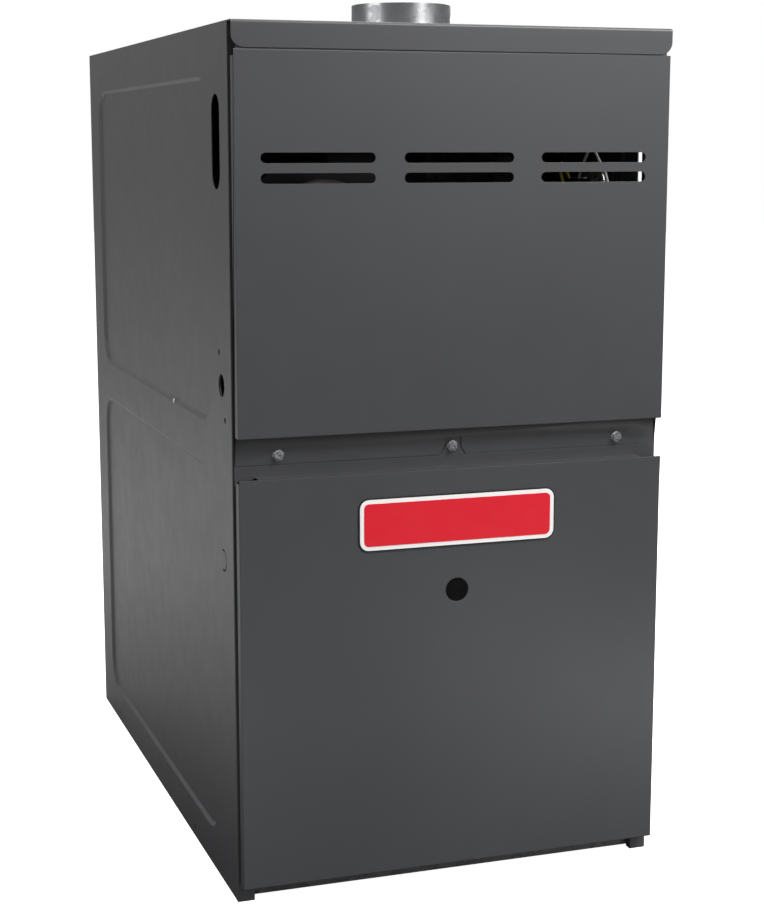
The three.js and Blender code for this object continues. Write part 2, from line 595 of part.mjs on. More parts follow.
/** The wrapper: one sheet round the sides and back, with turned-in front edges that reach the floor. */
function cabinetWrapper() {
  const half = [
    [RETURN_INNER_X, LIP_BACK_Y], [RETURN_INNER_X, FRONT_Y], [HALF_WIDTH, FRONT_Y], [HALF_WIDTH, BACK_Y],
  ];
  const mirrored = half.map(([x, y]) => [-x, y]).reverse();
  let wrapper = prismZ(sheetSection([...half, ...mirrored], CABINET_SHEET), 0, WRAPPER_HEIGHT);
  for (const side of [-1, 1]) {
    for (const span of [UPPER_PRESSING, LOWER_PRESSING]) {
      const dish = pressing(side, span, CABINET_SHEET, PRESSING_DEPTH + CABINET_SHEET);
      const [a, b] = [side * (INNER_X - 2 * OVERRUN), side * (INNER_X + CLEARANCE)].sort((p, q) => p - q);
      wrapper = wrapper.add(dish.intersect(block(a, b, FRONT_Y, BACK_Y, 0, WRAPPER_HEIGHT)));
      wrapper = wrapper.subtract(pressing(side, span, 0, PRESSING_DEPTH));
    }
  }
  const smallHoles = [
    ...UPPER_SMALL_HOLES.map(({ setback, rise }) => [setback, DECK_HEIGHT + rise]),
    ...[FOOT_HOLE_SETBACK, CABINET_DEPTH + DOOR_PROUD - FOOT_HOLE_REAR].map((setback) => [setback, FOOT_HOLE_HEIGHT]),
  ].map(([setback, height]) => sideHole(setback, height, SMALL_HOLE_RADIUS, 8));
  return cut(wrapper, sideSlot(-1), sideSlot(1), knockoutCrescent(),
    sideHole(WIRE_HOLE_SETBACK, WIRE_HOLE_HEIGHT, WIRE_HOLE_RADIUS, WIRE_HOLE_SIDES), ...smallHoles);
}

/** The top plate: lies on the wrapper, turns down over the top of the upper door, open for supply air. */
function topPlate() {
  const bend = Array.from({ length: 5 }, (_, i) => {
    const angle = Math.PI - (i * Math.PI) / 8;
    return [FACE_Y + TOP_BEND_RADIUS * (1 + Math.cos(angle)),
      CABINET_HEIGHT - TOP_BEND_RADIUS * (1 - Math.sin(angle))];
  });
  const line = [[BACK_Y, CABINET_HEIGHT], ...bend.reverse(), [FACE_Y, CABINET_HEIGHT - TOP_FLANGE_HEIGHT]];
  const plate = prismX(sheetSection(line, CABINET_SHEET), -HALF_WIDTH, HALF_WIDTH);
  const corners = [-1, 1].map((side) => {
    const corner = new THREE.Shape();
    const [x, z, r] = [side * HALF_WIDTH, CABINET_HEIGHT - TOP_FLANGE_HEIGHT, TOP_FLANGE_CORNER];
    corner.moveTo(x + side, z - 1).lineTo(x + side, z + r).lineTo(x, z + r);
    corner.absarc(x - side * r, z + r, r, side > 0 ? 0 : Math.PI, 1.5 * Math.PI, side > 0);
    corner.lineTo(x - side * r, z - 1);
    return prismY(corner, FACE_Y - 1, FACE_Y + TOP_BEND_RADIUS);
  });
  const supply = block(-SUPPLY_OPENING_WIDTH / 2, SUPPLY_OPENING_WIDTH / 2,
    VESTIBULE_Y + VESTIBULE_SHEET + SUPPLY_OPENING_FRONT_EDGE, BACK_Y - SUPPLY_OPENING_REAR_EDGE,
    CABINET_HEIGHT - OVERRUN, CABINET_HEIGHT + OVERRUN);
  const flueHole = bar('z', COLLAR_RADIUS + CLEARANCE, CABINET_HEIGHT - OVERRUN, CABINET_HEIGHT + OVERRUN,
    [0, COLLAR_Y], COLLAR_SIDES);
  return cut(plate, ...corners, supply, flueHole);
}

/** The flue collar: a plain spigot with a brim that lies on the top plate. */
function flueCollar() {
  const [inner, outer] = [COLLAR_RADIUS - COLLAR_SHEET, COLLAR_RADIUS];
  const foot = COLLAR_FOOT_GAP - INDUCER_DUCT_DROP;
  return turned([
    [inner, foot], [outer, foot], [outer, 0], [outer + COLLAR_BRIM, 0], [outer + COLLAR_BRIM, COLLAR_SHEET],
    [outer, COLLAR_SHEET], [outer, COLLAR_RISE], [inner, COLLAR_RISE], [inner, foot],
  ], 'z', [0, COLLAR_Y, CABINET_HEIGHT], COLLAR_SIDES);
}

/** The base pan: a sheet with turned-down edges between the walls, open for return air. */
function basePan() {
  const front = LIP_BACK_Y + CLEARANCE;
  const tray = (inset, foot, head) => block(-INNER_FIT_X + inset, INNER_FIT_X - inset,
    front + inset, INNER_BACK_FIT_Y - inset, foot, head);
  const pan = tray(0, BASE_PAN_FLANGE_FOOT, BASE_PAN_HEIGHT)
    .subtract(tray(CABINET_SHEET, BASE_PAN_FLANGE_FOOT - OVERRUN, BASE_PAN_HEIGHT - CABINET_SHEET));
  const opening = prismZ(roundedRectangle(0, (front + INNER_BACK_FIT_Y) / 2,
    2 * (INNER_FIT_X - RETURN_OPENING_MARGIN_X), INNER_BACK_FIT_Y - front - 2 * RETURN_OPENING_MARGIN_Y,
    RETURN_OPENING_CORNER), BASE_PAN_FLANGE_FOOT, BASE_PAN_HEIGHT + OVERRUN);
  return cut(pan, opening);
}

/** The deck between the two compartments: the blower hangs under it, its front rail takes the door screws. */
function blowerDeck() {
  const frontOfDeck = APRON_Y + DOOR_SHEET;
  const behindLip = LIP_BACK_Y + CLEARANCE;
  const neck = RETURN_INNER_X - CABINET_SHEET - CLEARANCE;
  const outlet = blowerOutlet();
  const sheet = join(
    block(-neck, neck, frontOfDeck, behindLip + LAP, DECK_UNDERSIDE, DECK_HEIGHT),
    block(-INNER_FIT_X, INNER_FIT_X, behindLip, INNER_BACK_FIT_Y, DECK_UNDERSIDE, DECK_HEIGHT),
    block(-DOOR_HALF_WIDTH, DOOR_HALF_WIDTH, frontOfDeck, FRONT_Y, DECK_RAIL_FOOT, DECK_HEIGHT),
    ...[-1, 1].map((side) => block(Math.min(side * INNER_FIT_X, side * (INNER_FIT_X - DECK_SHEET)),
      Math.max(side * INNER_FIT_X, side * (INNER_FIT_X - DECK_SHEET)),
      VESTIBULE_Y + VESTIBULE_SHEET + DECK_FLANGE_SETBACK, INNER_BACK_FIT_Y, DECK_UNDERSIDE - DECK_SIDE_FLANGE,
      DECK_UNDERSIDE + DECK_SHEET)),
  );
  const screws = [-1, 0, 1].map((place) => bar('y', DOOR_SCREW_HOLE, FACE_Y, LIP_BACK_Y,
    [(place * DOOR_SCREW_SPREAD) / 2, DOOR_SCREW_HEIGHT], 12));
  return cut(sheet, ...screws,
    block(-outlet.halfWidth, outlet.halfWidth, outlet.front, outlet.rear, DECK_UNDERSIDE - OVERRUN,
      DECK_HEIGHT + OVERRUN),
    bar('z', DECK_WIRE_HOLE.radius, DECK_UNDERSIDE - OVERRUN, DECK_HEIGHT + OVERRUN,
      [DECK_WIRE_HOLE.x, FACE_Y + DECK_WIRE_HOLE.setback], 16));
}

/** A hole with clearance for a tube that runs along Y through a sheet at y. */
const tubeHole = (x, y, z) =>
  sweep([[x, y - OVERRUN, z], [x, y + OVERRUN, z]], TUBE_RADIUS + CLEARANCE, TUBE_SIDES);

/** The vestibule panel: carries the burners, the collector box and the tube ends. */
function vestibulePanel() {
  const panel = block(-PRESSED_FIT_X, PRESSED_FIT_X, VESTIBULE_Y, VESTIBULE_Y + VESTIBULE_SHEET,
    DECK_HEIGHT, WRAPPER_HEIGHT);
  const foot = block(-PRESSED_FIT_X, PRESSED_FIT_X, VESTIBULE_Y - VESTIBULE_FOOT_FLANGE,
    VESTIBULE_Y + VESTIBULE_SHEET, DECK_HEIGHT, DECK_HEIGHT + VESTIBULE_SHEET);
  const head = block(-PRESSED_FIT_X, PRESSED_FIT_X, VESTIBULE_Y, VESTIBULE_Y + VESTIBULE_HEAD_FLANGE,
    WRAPPER_HEIGHT - VESTIBULE_SHEET, WRAPPER_HEIGHT);
  const holes = TUBE_XS.flatMap((x) => [FIRST_PASS_HEIGHT, LAST_PASS_HEIGHT].map((z) =>
    tubeHole(x, VESTIBULE_Y, z)));
  const probe = bar('y', LIMIT_PROBE.hole, VESTIBULE_Y - OVERRUN, VESTIBULE_Y + OVERRUN,
    [LIMIT_SWITCH_X, LIMIT_SWITCH_Z], 12);
  return cut(join(panel, foot, head), ...holes, probe);
}

// ---------------------------------------------------------------- heat exchanger

/** The route of one serpentine tube: out of the vestibule, round three bends and back to it. */
function serpentineRoute(x, overrun) {
  const route = [[x, VESTIBULE_Y - overrun, FIRST_PASS_HEIGHT]];
  for (let pass = 0; pass < PASS_COUNT - 1; pass += 1) {
    const rearward = pass % 2 === 0;
    const [bendY, outward] = rearward ? [REAR_BEND_Y, 1] : [FRONT_BEND_Y, -1];
    const centreZ = FIRST_PASS_HEIGHT + (pass + 0.5) * PASS_PITCH;
    for (let step = 0; step <= BEND_STEPS; step += 1) {
      const angle = -Math.PI / 2 + (Math.PI * step) / BEND_STEPS;
      route.push([x, bendY + (outward * PASS_PITCH * Math.cos(angle)) / 2, centreZ + (PASS_PITCH * Math.sin(angle)) / 2]);
    }
  }
  route.push([x, VESTIBULE_Y - overrun, LAST_PASS_HEIGHT]);
  return route;
}

/** One heat exchanger tube, open at both ends. */
const heatTube = (x) => sweep(serpentineRoute(x, 0), TUBE_RADIUS, TUBE_SIDES)
  .subtract(sweep(serpentineRoute(x, OVERRUN), TUBE_RADIUS - TUBE_WALL, TUBE_SIDES));

/** The plate that holds the rear of the tubes, with arms that reach both side walls. */
function heatExchangerSupport() {
  const y = REAR_BEND_Y - SUPPORT_SETBACK;
  const edge = TUBE_RADIUS + SUPPORT_MARGIN;
  const [foot, head] = [FIRST_PASS_HEIGHT - edge, LAST_PASS_HEIGHT + edge];
  const half = TUBE_XS[TUBE_COUNT - 1] + edge;
  const plate = join(
    block(-half, half, y, y + SUPPORT_SHEET, foot, head),
    block(-half, half, y, y + SUPPORT_FLANGE, foot, foot + SUPPORT_SHEET),
    ...[FIRST_PASS_HEIGHT + PASS_PITCH / 2, LAST_PASS_HEIGHT - PASS_PITCH / 2].map((z) =>
      block(-PRESSED_FIT_X, PRESSED_FIT_X, y, y + SUPPORT_SHEET, z - SUPPORT_ARM / 2, z + SUPPORT_ARM / 2)));
  const holes = TUBE_XS.flatMap((x) => Array.from({ length: PASS_COUNT }, (_, pass) =>
    tubeHole(x, y, FIRST_PASS_HEIGHT + pass * PASS_PITCH)));
  return cut(plate, ...holes);
}

/** The round cut through the collector's face and the inducer's back. */
const inducerInlet = () => bar('y', INDUCER_INLET_RADIUS, COLLECTOR_FRONT_Y - OVERRUN, COLLECTOR_FRONT_Y + OVERRUN,
  [INDUCER_X, INDUCER_Z]);

/** The collector box in front of the tube outlets, open to the back, with the inducer's inlet in its face. */
function collectorBox() {
  const half = TUBE_XS[TUBE_COUNT - 1] + COLLECTOR_MARGIN + TUBE_RADIUS;
  const head = LAST_PASS_HEIGHT + COLLECTOR_MARGIN;
  const shell = (inset, back) => block(-half + inset, half - inset,
    COLLECTOR_FRONT_Y + inset, back, COLLECTOR_FOOT + inset, head - inset);
  const rim = block(-half - COLLECTOR_RIM, half + COLLECTOR_RIM, VESTIBULE_Y - COLLECTOR_SHEET, VESTIBULE_Y,
    COLLECTOR_FOOT - COLLECTOR_RIM, head + COLLECTOR_RIM);
  return cut(join(shell(0, VESTIBULE_Y), rim), shell(COLLECTOR_SHEET, VESTIBULE_Y + OVERRUN), inducerInlet());
}

// ---------------------------------------------------------------- scroll housings

const TONGUE_ANGLE = (75 * Math.PI) / 180;

/** A scroll outline with its outlet straight up on the right: the radius grows round from the tongue. */
function scrollOutline([u, v], tongueRadius, growth, top, inset, steps) {
  const points = [];
  for (let i = 0; i <= steps; i += 1) {
    const turn = i / steps;
    const angle = TONGUE_ANGLE + turn * (2 * Math.PI - TONGUE_ANGLE);
    const radius = tongueRadius + growth * turn - inset;
    points.push(new THREE.Vector2(u + radius * Math.cos(angle), v + radius * Math.sin(angle)));
  }
  points.push(new THREE.Vector2(u + tongueRadius + growth - inset, top));
  points.push(new THREE.Vector2(u + tongueRadius * Math.cos(TONGUE_ANGLE) + inset, top));
  points.push(new THREE.Vector2(u + tongueRadius * Math.cos(TONGUE_ANGLE) + inset,
    v + (tongueRadius - inset) * Math.sin(TONGUE_ANGLE)));
  return new THREE.Shape(points);
}

const BLOWER_TONGUE_RADIUS = BLOWER_WHEEL_RADIUS + BLOWER_TONGUE_GAP;
const INDUCER_TONGUE_RADIUS = INDUCER_WHEEL_RADIUS + INDUCER_TONGUE_GAP;

/** The clear outlet of the blower housing, through the deck. */
function blowerOutlet() {
  return {
    halfWidth: BLOWER_HOUSING_WIDTH / 2 - BLOWER_SHEET,
    front: BLOWER_Y + BLOWER_TONGUE_RADIUS * Math.cos(TONGUE_ANGLE) + BLOWER_SHEET,
    rear: BLOWER_Y + BLOWER_TONGUE_RADIUS + BLOWER_SCROLL_GROWTH - BLOWER_SHEET,
  };
}

/** The blower housing: two scroll sides with inlet rings, a wrapped rim and a flange under the deck. */
function blowerHousing() {
  const half = BLOWER_HOUSING_WIDTH / 2;
  const outline = (inset, top) => scrollOutline([BLOWER_Y, BLOWER_Z], BLOWER_TONGUE_RADIUS,
    BLOWER_SCROLL_GROWTH, top, inset, BLOWER_SCROLL_STEPS);
  const outlet = blowerOutlet();
  const flange = block(-half - BLOWER_FLANGE, half + BLOWER_FLANGE, outlet.front - BLOWER_FLANGE,
    outlet.rear + BLOWER_FLANGE, DECK_UNDERSIDE - BLOWER_SHEET, DECK_UNDERSIDE);
  const { width, depth, sides } = BLOWER_INLET_RING;
  const inletRings = [-1, 1].map((side) => bar('x', BLOWER_INLET_RADIUS + width,
    Math.min(side * half, side * (half - depth)), Math.max(side * half, side * (half - depth)), [BLOWER_Y, BLOWER_Z], sides));
  const cavity = prismX(outline(BLOWER_SHEET, DECK_UNDERSIDE + OVERRUN), -half + BLOWER_SHEET, half - BLOWER_SHEET);
  const shell = join(prismX(outline(0, DECK_UNDERSIDE), -half, half), flange).subtract(cavity);
  return cut(join(shell, ...inletRings),
    bar('x', BLOWER_INLET_RADIUS, -half - OVERRUN, half + OVERRUN, [BLOWER_Y, BLOWER_Z], sides));
}

/** The inducer housing: a scroll on the collector with its outlet upwards and a port for the pressure hose. */
function inducerHousing() {
  const outline = (inset, top) => scrollOutline([INDUCER_X, INDUCER_Z], INDUCER_TONGUE_RADIUS,
    INDUCER_SCROLL_GROWTH, top, inset, INDUCER_SCROLL_STEPS);
  const portFront = INDUCER_FRONT_Y - HOSE_PORT.length;
  const outer = join(prismY(outline(0, INDUCER_DUCT_BASE), INDUCER_FRONT_Y, COLLECTOR_FRONT_Y),
    bar('y', HOSE_PORT.radius, portFront, INDUCER_FRONT_Y + LAP, HOSE_PORT_PLACE, 12));
  const cavity = prismY(outline(INDUCER_WALL, INDUCER_DUCT_BASE + OVERRUN),
    INDUCER_FRONT_Y + INDUCER_WALL, COLLECTOR_FRONT_Y - INDUCER_WALL);
  return cut(outer, cavity, inducerInlet(),
    bar('y', INDUCER_SHAFT_HOLE, INDUCER_FRONT_Y - OVERRUN, INDUCER_FRONT_Y + OVERRUN, [INDUCER_X, INDUCER_Z], 16),
    bar('y', HOSE_PORT.bore, portFront - OVERRUN, INDUCER_FRONT_Y + OVERRUN, HOSE_PORT_PLACE, 8));
}

/** The transition on the scroll's outlet: a flanged foot, lofted up to the round flue spigot. */
function inducerTransition() {
  const [left, right] = [INDUCER_X + INDUCER_TONGUE_RADIUS * Math.cos(TONGUE_ANGLE),
    INDUCER_X + INDUCER_TONGUE_RADIUS + INDUCER_SCROLL_GROWTH];
  const centre = (left + right) / 2;
  const ring = (inset, z, share) => Array.from({ length: INDUCER_DUCT_SIDES }, (_, i) => {
    const angle = (2 * Math.PI * (i + 0.5)) / INDUCER_DUCT_SIDES;
    const [c, s] = [Math.cos(angle), Math.sin(angle)];
    const square = 1 / Math.max(Math.abs(c), Math.abs(s));
    const rect = [centre + c * square * ((right - left) / 2 - inset),
      COLLAR_Y + s * square * (INDUCER_DEPTH / 2 - inset)];
    const radius = COLLAR_RADIUS - COLLAR_SHEET - 2 * CLEARANCE - inset;
    const round = [c * radius, COLLAR_Y + s * radius];
    return new THREE.Vector3(rect[0] + (round[0] - rect[0]) * share, rect[1] + (round[1] - rect[1]) * share, z);
  });
  const [base, top, head] = [INDUCER_DUCT_BASE, INDUCER_DUCT_TOP, INDUCER_DUCT_TOP + INDUCER_SPIGOT];
  const outer = solid(loft([ring(0, base, 0), ring(0, top, 1), ring(0, head, 1)]));
  const cavity = solid(loft([ring(INDUCER_WALL, base - OVERRUN, 0), ring(INDUCER_WALL, base, 0),
    ring(INDUCER_WALL, top, 1), ring(INDUCER_WALL, head + OVERRUN, 1)]));
  const { width, thickness, corner } = INDUCER_FLANGE;
  const flange = prismZ(roundedRectangle(centre, COLLAR_Y, right - left + 2 * width, INDUCER_DEPTH + 2 * width, corner),
    base, base + thickness);
  return cut(join(outer, flange), cavity);
}

// ---------------------------------------------------------------- wheels and motors

/** The outline of one curved sheet blade between two radii, leaning `lean` radians ahead at its tip. */
function bladeOutline(innerRadius, outerRadius, lean, thickness, steps) {
  const edge = (offset) => Array.from({ length: steps + 1 }, (_, i) => {
    const share = i / steps;
    const radius = innerRadius + (outerRadius - innerRadius) * share;
    const angle = lean * share * share;
    const side = angle + Math.PI / 2;
    return new THREE.Vector2(radius * Math.cos(angle) + offset * Math.cos(side),
      radius * Math.sin(angle) + offset * Math.sin(side));
  });
  return new THREE.Shape([...edge(-thickness / 2), ...edge(thickness / 2).reverse()]);
}

/** The blower wheel: forward curved blades between two rims, carried by a disc and a hub. */
function blowerWheel() {
  const half = BLOWER_WHEEL_WIDTH / 2;
  const inner = BLOWER_WHEEL_RADIUS - BLADE_RADIAL_DEPTH;
  const blade = bladeOutline(inner, BLOWER_WHEEL_RADIUS - LAP, BLADE_LEAN, BLADE_THICKNESS, 2);
  const blades = Array.from({ length: BLOWER_BLADES }, (_, i) =>
    solid(extrude(blade, BLOWER_WHEEL_WIDTH - RIM_WIDTH).translate(0, 0, RIM_WIDTH / 2 - half)
      .rotateZ((2 * Math.PI * i) / BLOWER_BLADES)));
  const ringAt = (low, high, inside, outside) => {
    const shape = new THREE.Shape().absarc(0, 0, outside, 0, 2 * Math.PI);
    shape.holes.push(new THREE.Path().absarc(0, 0, inside, 0, 2 * Math.PI));
    return solid(new THREE.ExtrudeGeometry(shape, { depth: high - low, bevelEnabled: false, curveSegments: 12 })
      .translate(0, 0, low));
  };
  const wheel = join(
    ringAt(-half, -half + RIM_WIDTH, inner - LAP, BLOWER_WHEEL_RADIUS),
    ringAt(half - RIM_WIDTH, half, inner - LAP, BLOWER_WHEEL_RADIUS),
    ringAt(HUB_DISC_X, HUB_DISC_X + BLADE_THICKNESS, BLOWER_SHAFT_RADIUS + BLOWER_BORE_GAP, inner + OVERRUN),
    ringAt(HUB_DISC_X - HUB_LENGTHS.left, HUB_DISC_X + HUB_LENGTHS.right, BLOWER_SHAFT_RADIUS + BLOWER_BORE_GAP,
      HUB_RADIUS),
    ...blades);
  const turn = new THREE.Matrix4().makeBasis(AXES.y, AXES.z, AXES.x);
  return solid(geometryOf(wheel).applyMatrix4(turn).translate(0, BLOWER_Y, BLOWER_Z));
}

/** The motor's shaft, which carries the wheel. */
const blowerShaft = () => bar('x', BLOWER_SHAFT_RADIUS, HUB_DISC_X - BLOWER_SHAFT_REACH,
  BLOWER_MOTOR_START + BLOWER_SHAFT_REACH, [BLOWER_Y, BLOWER_Z], 20);

/** The blower motor: a ribbed shell with two end bells and the shaft's bore. */
function blowerMotor() {
  const [r, end] = [BLOWER_MOTOR_RADIUS, BLOWER_MOTOR_LENGTH];
  const shell = turned([
    [0, 0], [24, 0], [28, 6], [r - 12, 10], [r, 20], [r, end - 20], [r - 12, end - 10], [28, end - 6], [24, end],
    [0, end],
  ], 'x', [BLOWER_MOTOR_START, BLOWER_Y, BLOWER_Z], BLOWER_MOTOR_SIDES);
  const bore = bar('x', BLOWER_SHAFT_RADIUS + BLOWER_BORE_GAP, BLOWER_MOTOR_START - OVERRUN,
    BLOWER_MOTOR_START + BLOWER_SHAFT_REACH + OVERRUN, [BLOWER_Y, BLOWER_Z], 20);
  return cut(shell, bore);
}

/** The belly band round the motor, with three arms that rest on the housing's side. */
function motorMount() {
  const face = BLOWER_HOUSING_WIDTH / 2;
  const [inside, outside] = [BLOWER_MOTOR_RADIUS + CLEARANCE, BLOWER_MOTOR_RADIUS + CLEARANCE + MOTOR_BAND_SHEET];
  const place = [BLOWER_Y, BLOWER_Z];
  const bandStart = face - MOTOR_BAND_WIDTH;
  const armEnd = BLOWER_INLET_RADIUS + MOTOR_ARM_OVERLAP;
  const arms = [90, 210, 330].map((degrees) => {
    const arm = new THREE.BoxGeometry(MOTOR_ARM_THICKNESS, armEnd - outside + LAP, MOTOR_ARM_WIDTH);
    arm.translate(face + MOTOR_ARM_THICKNESS / 2, (armEnd + outside - LAP) / 2, 0);
    arm.rotateX((degrees * Math.PI) / 180).translate(0, ...place);
    return solid(arm);
  });
  return join(bar('x', outside, bandStart, face + MOTOR_ARM_THICKNESS, place, BLOWER_MOTOR_SIDES), ...arms)
    .subtract(bar('x', inside, bandStart - OVERRUN, face + 2 * OVERRUN, place, BLOWER_MOTOR_SIDES));
}

/** The oval run capacitor and its strap on the housing's left side. */
function capacitor() {
  const { behind, above, height, width, depth, corner, gap } = CAPACITOR;
  const { rise, height: strapHeight, thickness, ear, sheet } = CAPACITOR_STRAP;
  const side = -BLOWER_HOUSING_WIDTH / 2;
  const [x, y, foot] = [side - gap - width / 2, BLOWER_Y + behind, BLOWER_Z + above];
  const [head, strapFoot, strapHead] = [foot + height, foot + rise, foot + rise + strapHeight];
  const can = prismZ(roundedRectangle(x, y, width, depth, corner), foot, head);
  const strap = prismZ(roundedRectangle(x, y, width + 2 * thickness, depth + 2 * thickness, corner + thickness),
    strapFoot, strapHead);
  const ears = block(side - sheet, side, y - ear, y + ear, strapFoot, strapHead);
  const terminals = [-1, 1].map((sign) => block(x - CAPACITOR_TERMINAL.thickness / 2, x + CAPACITOR_TERMINAL.thickness / 2,
    y + sign * CAPACITOR_TERMINAL.spread - CAPACITOR_TERMINAL.width / 2,
    y + sign * CAPACITOR_TERMINAL.spread + CAPACITOR_TERMINAL.width / 2, head, head + CAPACITOR_TERMINAL.height));
  return join(can, strap, ears, ...terminals);
}

/** The inducer wheel: a back disc with radial blades on a hub, in the scroll. */
function inducerWheel() {
  const discY = INDUCER_FRONT_Y + INDUCER_WALL + INDUCER_DISC_GAP;
  const bladeEnd = discY + INDUCER_WHEEL_DEPTH;
  const place = [INDUCER_X, INDUCER_Z];
  const { inner, lean, thickness } = INDUCER_BLADE;
  const blade = bladeOutline(inner, INDUCER_WHEEL_RADIUS - 0.5, lean, thickness, 2);
  const blades = Array.from({ length: INDUCER_BLADES }, (_, i) =>
    solid(extrude(blade, bladeEnd - discY - LAP).rotateZ((2 * Math.PI * i) / INDUCER_BLADES)
      .rotateX(Math.PI / 2).translate(INDUCER_X, bladeEnd, INDUCER_Z))
      .intersect(bar('y', INDUCER_WHEEL_RADIUS, discY, bladeEnd, place, 20)));
  return cut(join(
    bar('y', INDUCER_WHEEL_RADIUS, discY, discY + thickness, place, 20),
    bar('y', INDUCER_HUB.radius, discY - INDUCER_HUB.front, bladeEnd - INDUCER_HUB.rear, place), ...blades),
  bar('y', INDUCER_SHAFT_RADIUS + CLEARANCE, discY - 2 * OVERRUN, bladeEnd - 2 * OVERRUN, place, 12));
}

const MOTOR_BACK_Y = INDUCER_FRONT_Y - INDUCER_MOTOR_STANDOFF;
const MOTOR_FRONT_Y = MOTOR_BACK_Y - INDUCER_MOTOR_LENGTH;

/** The inducer's shaft, from the cooling fan through the motor to the wheel. */
const inducerShaft = () => bar('y', INDUCER_SHAFT_RADIUS, MOTOR_FRONT_Y - COOLING_FAN_DEPTH - INDUCER_SHAFT_REACH,
  INDUCER_FRONT_Y + INDUCER_WHEEL_DEPTH - INDUCER_SHAFT_RADIUS, [INDUCER_X, INDUCER_Z], 12);

/** The inducer motor: a short round can with stepped end bells and three legs that stand on the scroll. */
function inducerMotor() {
  const [r, length] = [INDUCER_MOTOR_RADIUS, INDUCER_MOTOR_LENGTH];
  const can = turned([
    [0, 0], [16, 0], [18, 4], [r - 6, 6], [r, 12], [r, length - 12], [r - 6, length - 6], [18, length - 4],
    [16, length], [0, length],
  ], 'y', [INDUCER_X, MOTOR_FRONT_Y, INDUCER_Z], INDUCER_MOTOR_SIDES);
  const legs = [30, 150, 270].map((degrees) => {
    const [angle, circle] = [(degrees * Math.PI) / 180, r - INDUCER_MOTOR_LEG.inset];
    return bar('y', INDUCER_MOTOR_LEG.radius, MOTOR_BACK_Y - INDUCER_MOTOR_LEG.lap, INDUCER_FRONT_Y,
      [INDUCER_X + circle * Math.cos(angle), INDUCER_Z + circle * Math.sin(angle)], 10);
  });
  return cut(join(can, ...legs), bar('y', INDUCER_SHAFT_RADIUS + CLEARANCE, MOTOR_FRONT_Y - OVERRUN,
    MOTOR_BACK_Y + OVERRUN, [INDUCER_X, INDUCER_Z], 12));
}

/** The small fan on the motor's front end, which cools it. */
function coolingFan() {
  const back = MOTOR_FRONT_Y - COOLING_FAN_GAP;
  const front = back - COOLING_FAN_DEPTH;
  const { width, thickness, pitch, root } = COOLING_FAN_BLADE;
  const blades = Array.from({ length: COOLING_FAN_BLADES }, (_, i) => {
    const blade = new THREE.BoxGeometry(COOLING_FAN_RADIUS - root, thickness, width);
    blade.translate((COOLING_FAN_RADIUS + root) / 2, 0, 0).rotateX(pitch);
    blade.rotateY((2 * Math.PI * i) / COOLING_FAN_BLADES).translate(INDUCER_X, (front + back) / 2, INDUCER_Z);
    return solid(blade);
  });
  return cut(join(bar('y', COOLING_FAN_HUB, front, back, [INDUCER_X, INDUCER_Z], 18), ...blades),
    bar('y', INDUCER_SHAFT_RADIUS + CLEARANCE, front - OVERRUN, back + OVERRUN, [INDUCER_X, INDUCER_Z], 12));
}

// ---------------------------------------------------------------- burners and gas train

/** One inshot burner: bell mouth, venturi, tube and flame head, open from end to end. */
function burner(x) {
  const [bell, tube, head, w, end] = [BURNER_BELL_RADIUS, BURNER_TUBE_RADIUS, BURNER_HEAD_RADIUS, BURNER_WALL,
    BURNER_LENGTH];
  const outside = [[bell, 0], [bell - 5, 7], [tube - 2.5, 20], [tube, 40], [tube, end - 38], [head, end - 26],
    [head, end]];
  const inside = [...outside].reverse().map(([r, h]) => [r - w, h]);
  const profile = [...outside, ...inside, outside[0]];
  return turned(profile, 'y', [x, BURNER_START_Y, FIRST_PASS_HEIGHT], BURNER_SIDES);
}

const RACK_FLOOR = FIRST_PASS_HEIGHT - RACK_FLOOR_DROP;
const RACK_ROOF = FIRST_PASS_HEIGHT + RACK_ROOF_RISE;
const RACK_NECK_Y = BURNER_START_Y + RACK_NECK_SETBACK;
const RACK_HEAD_Y = BURNER_END_Y - RACK_HEAD_SETBACK;

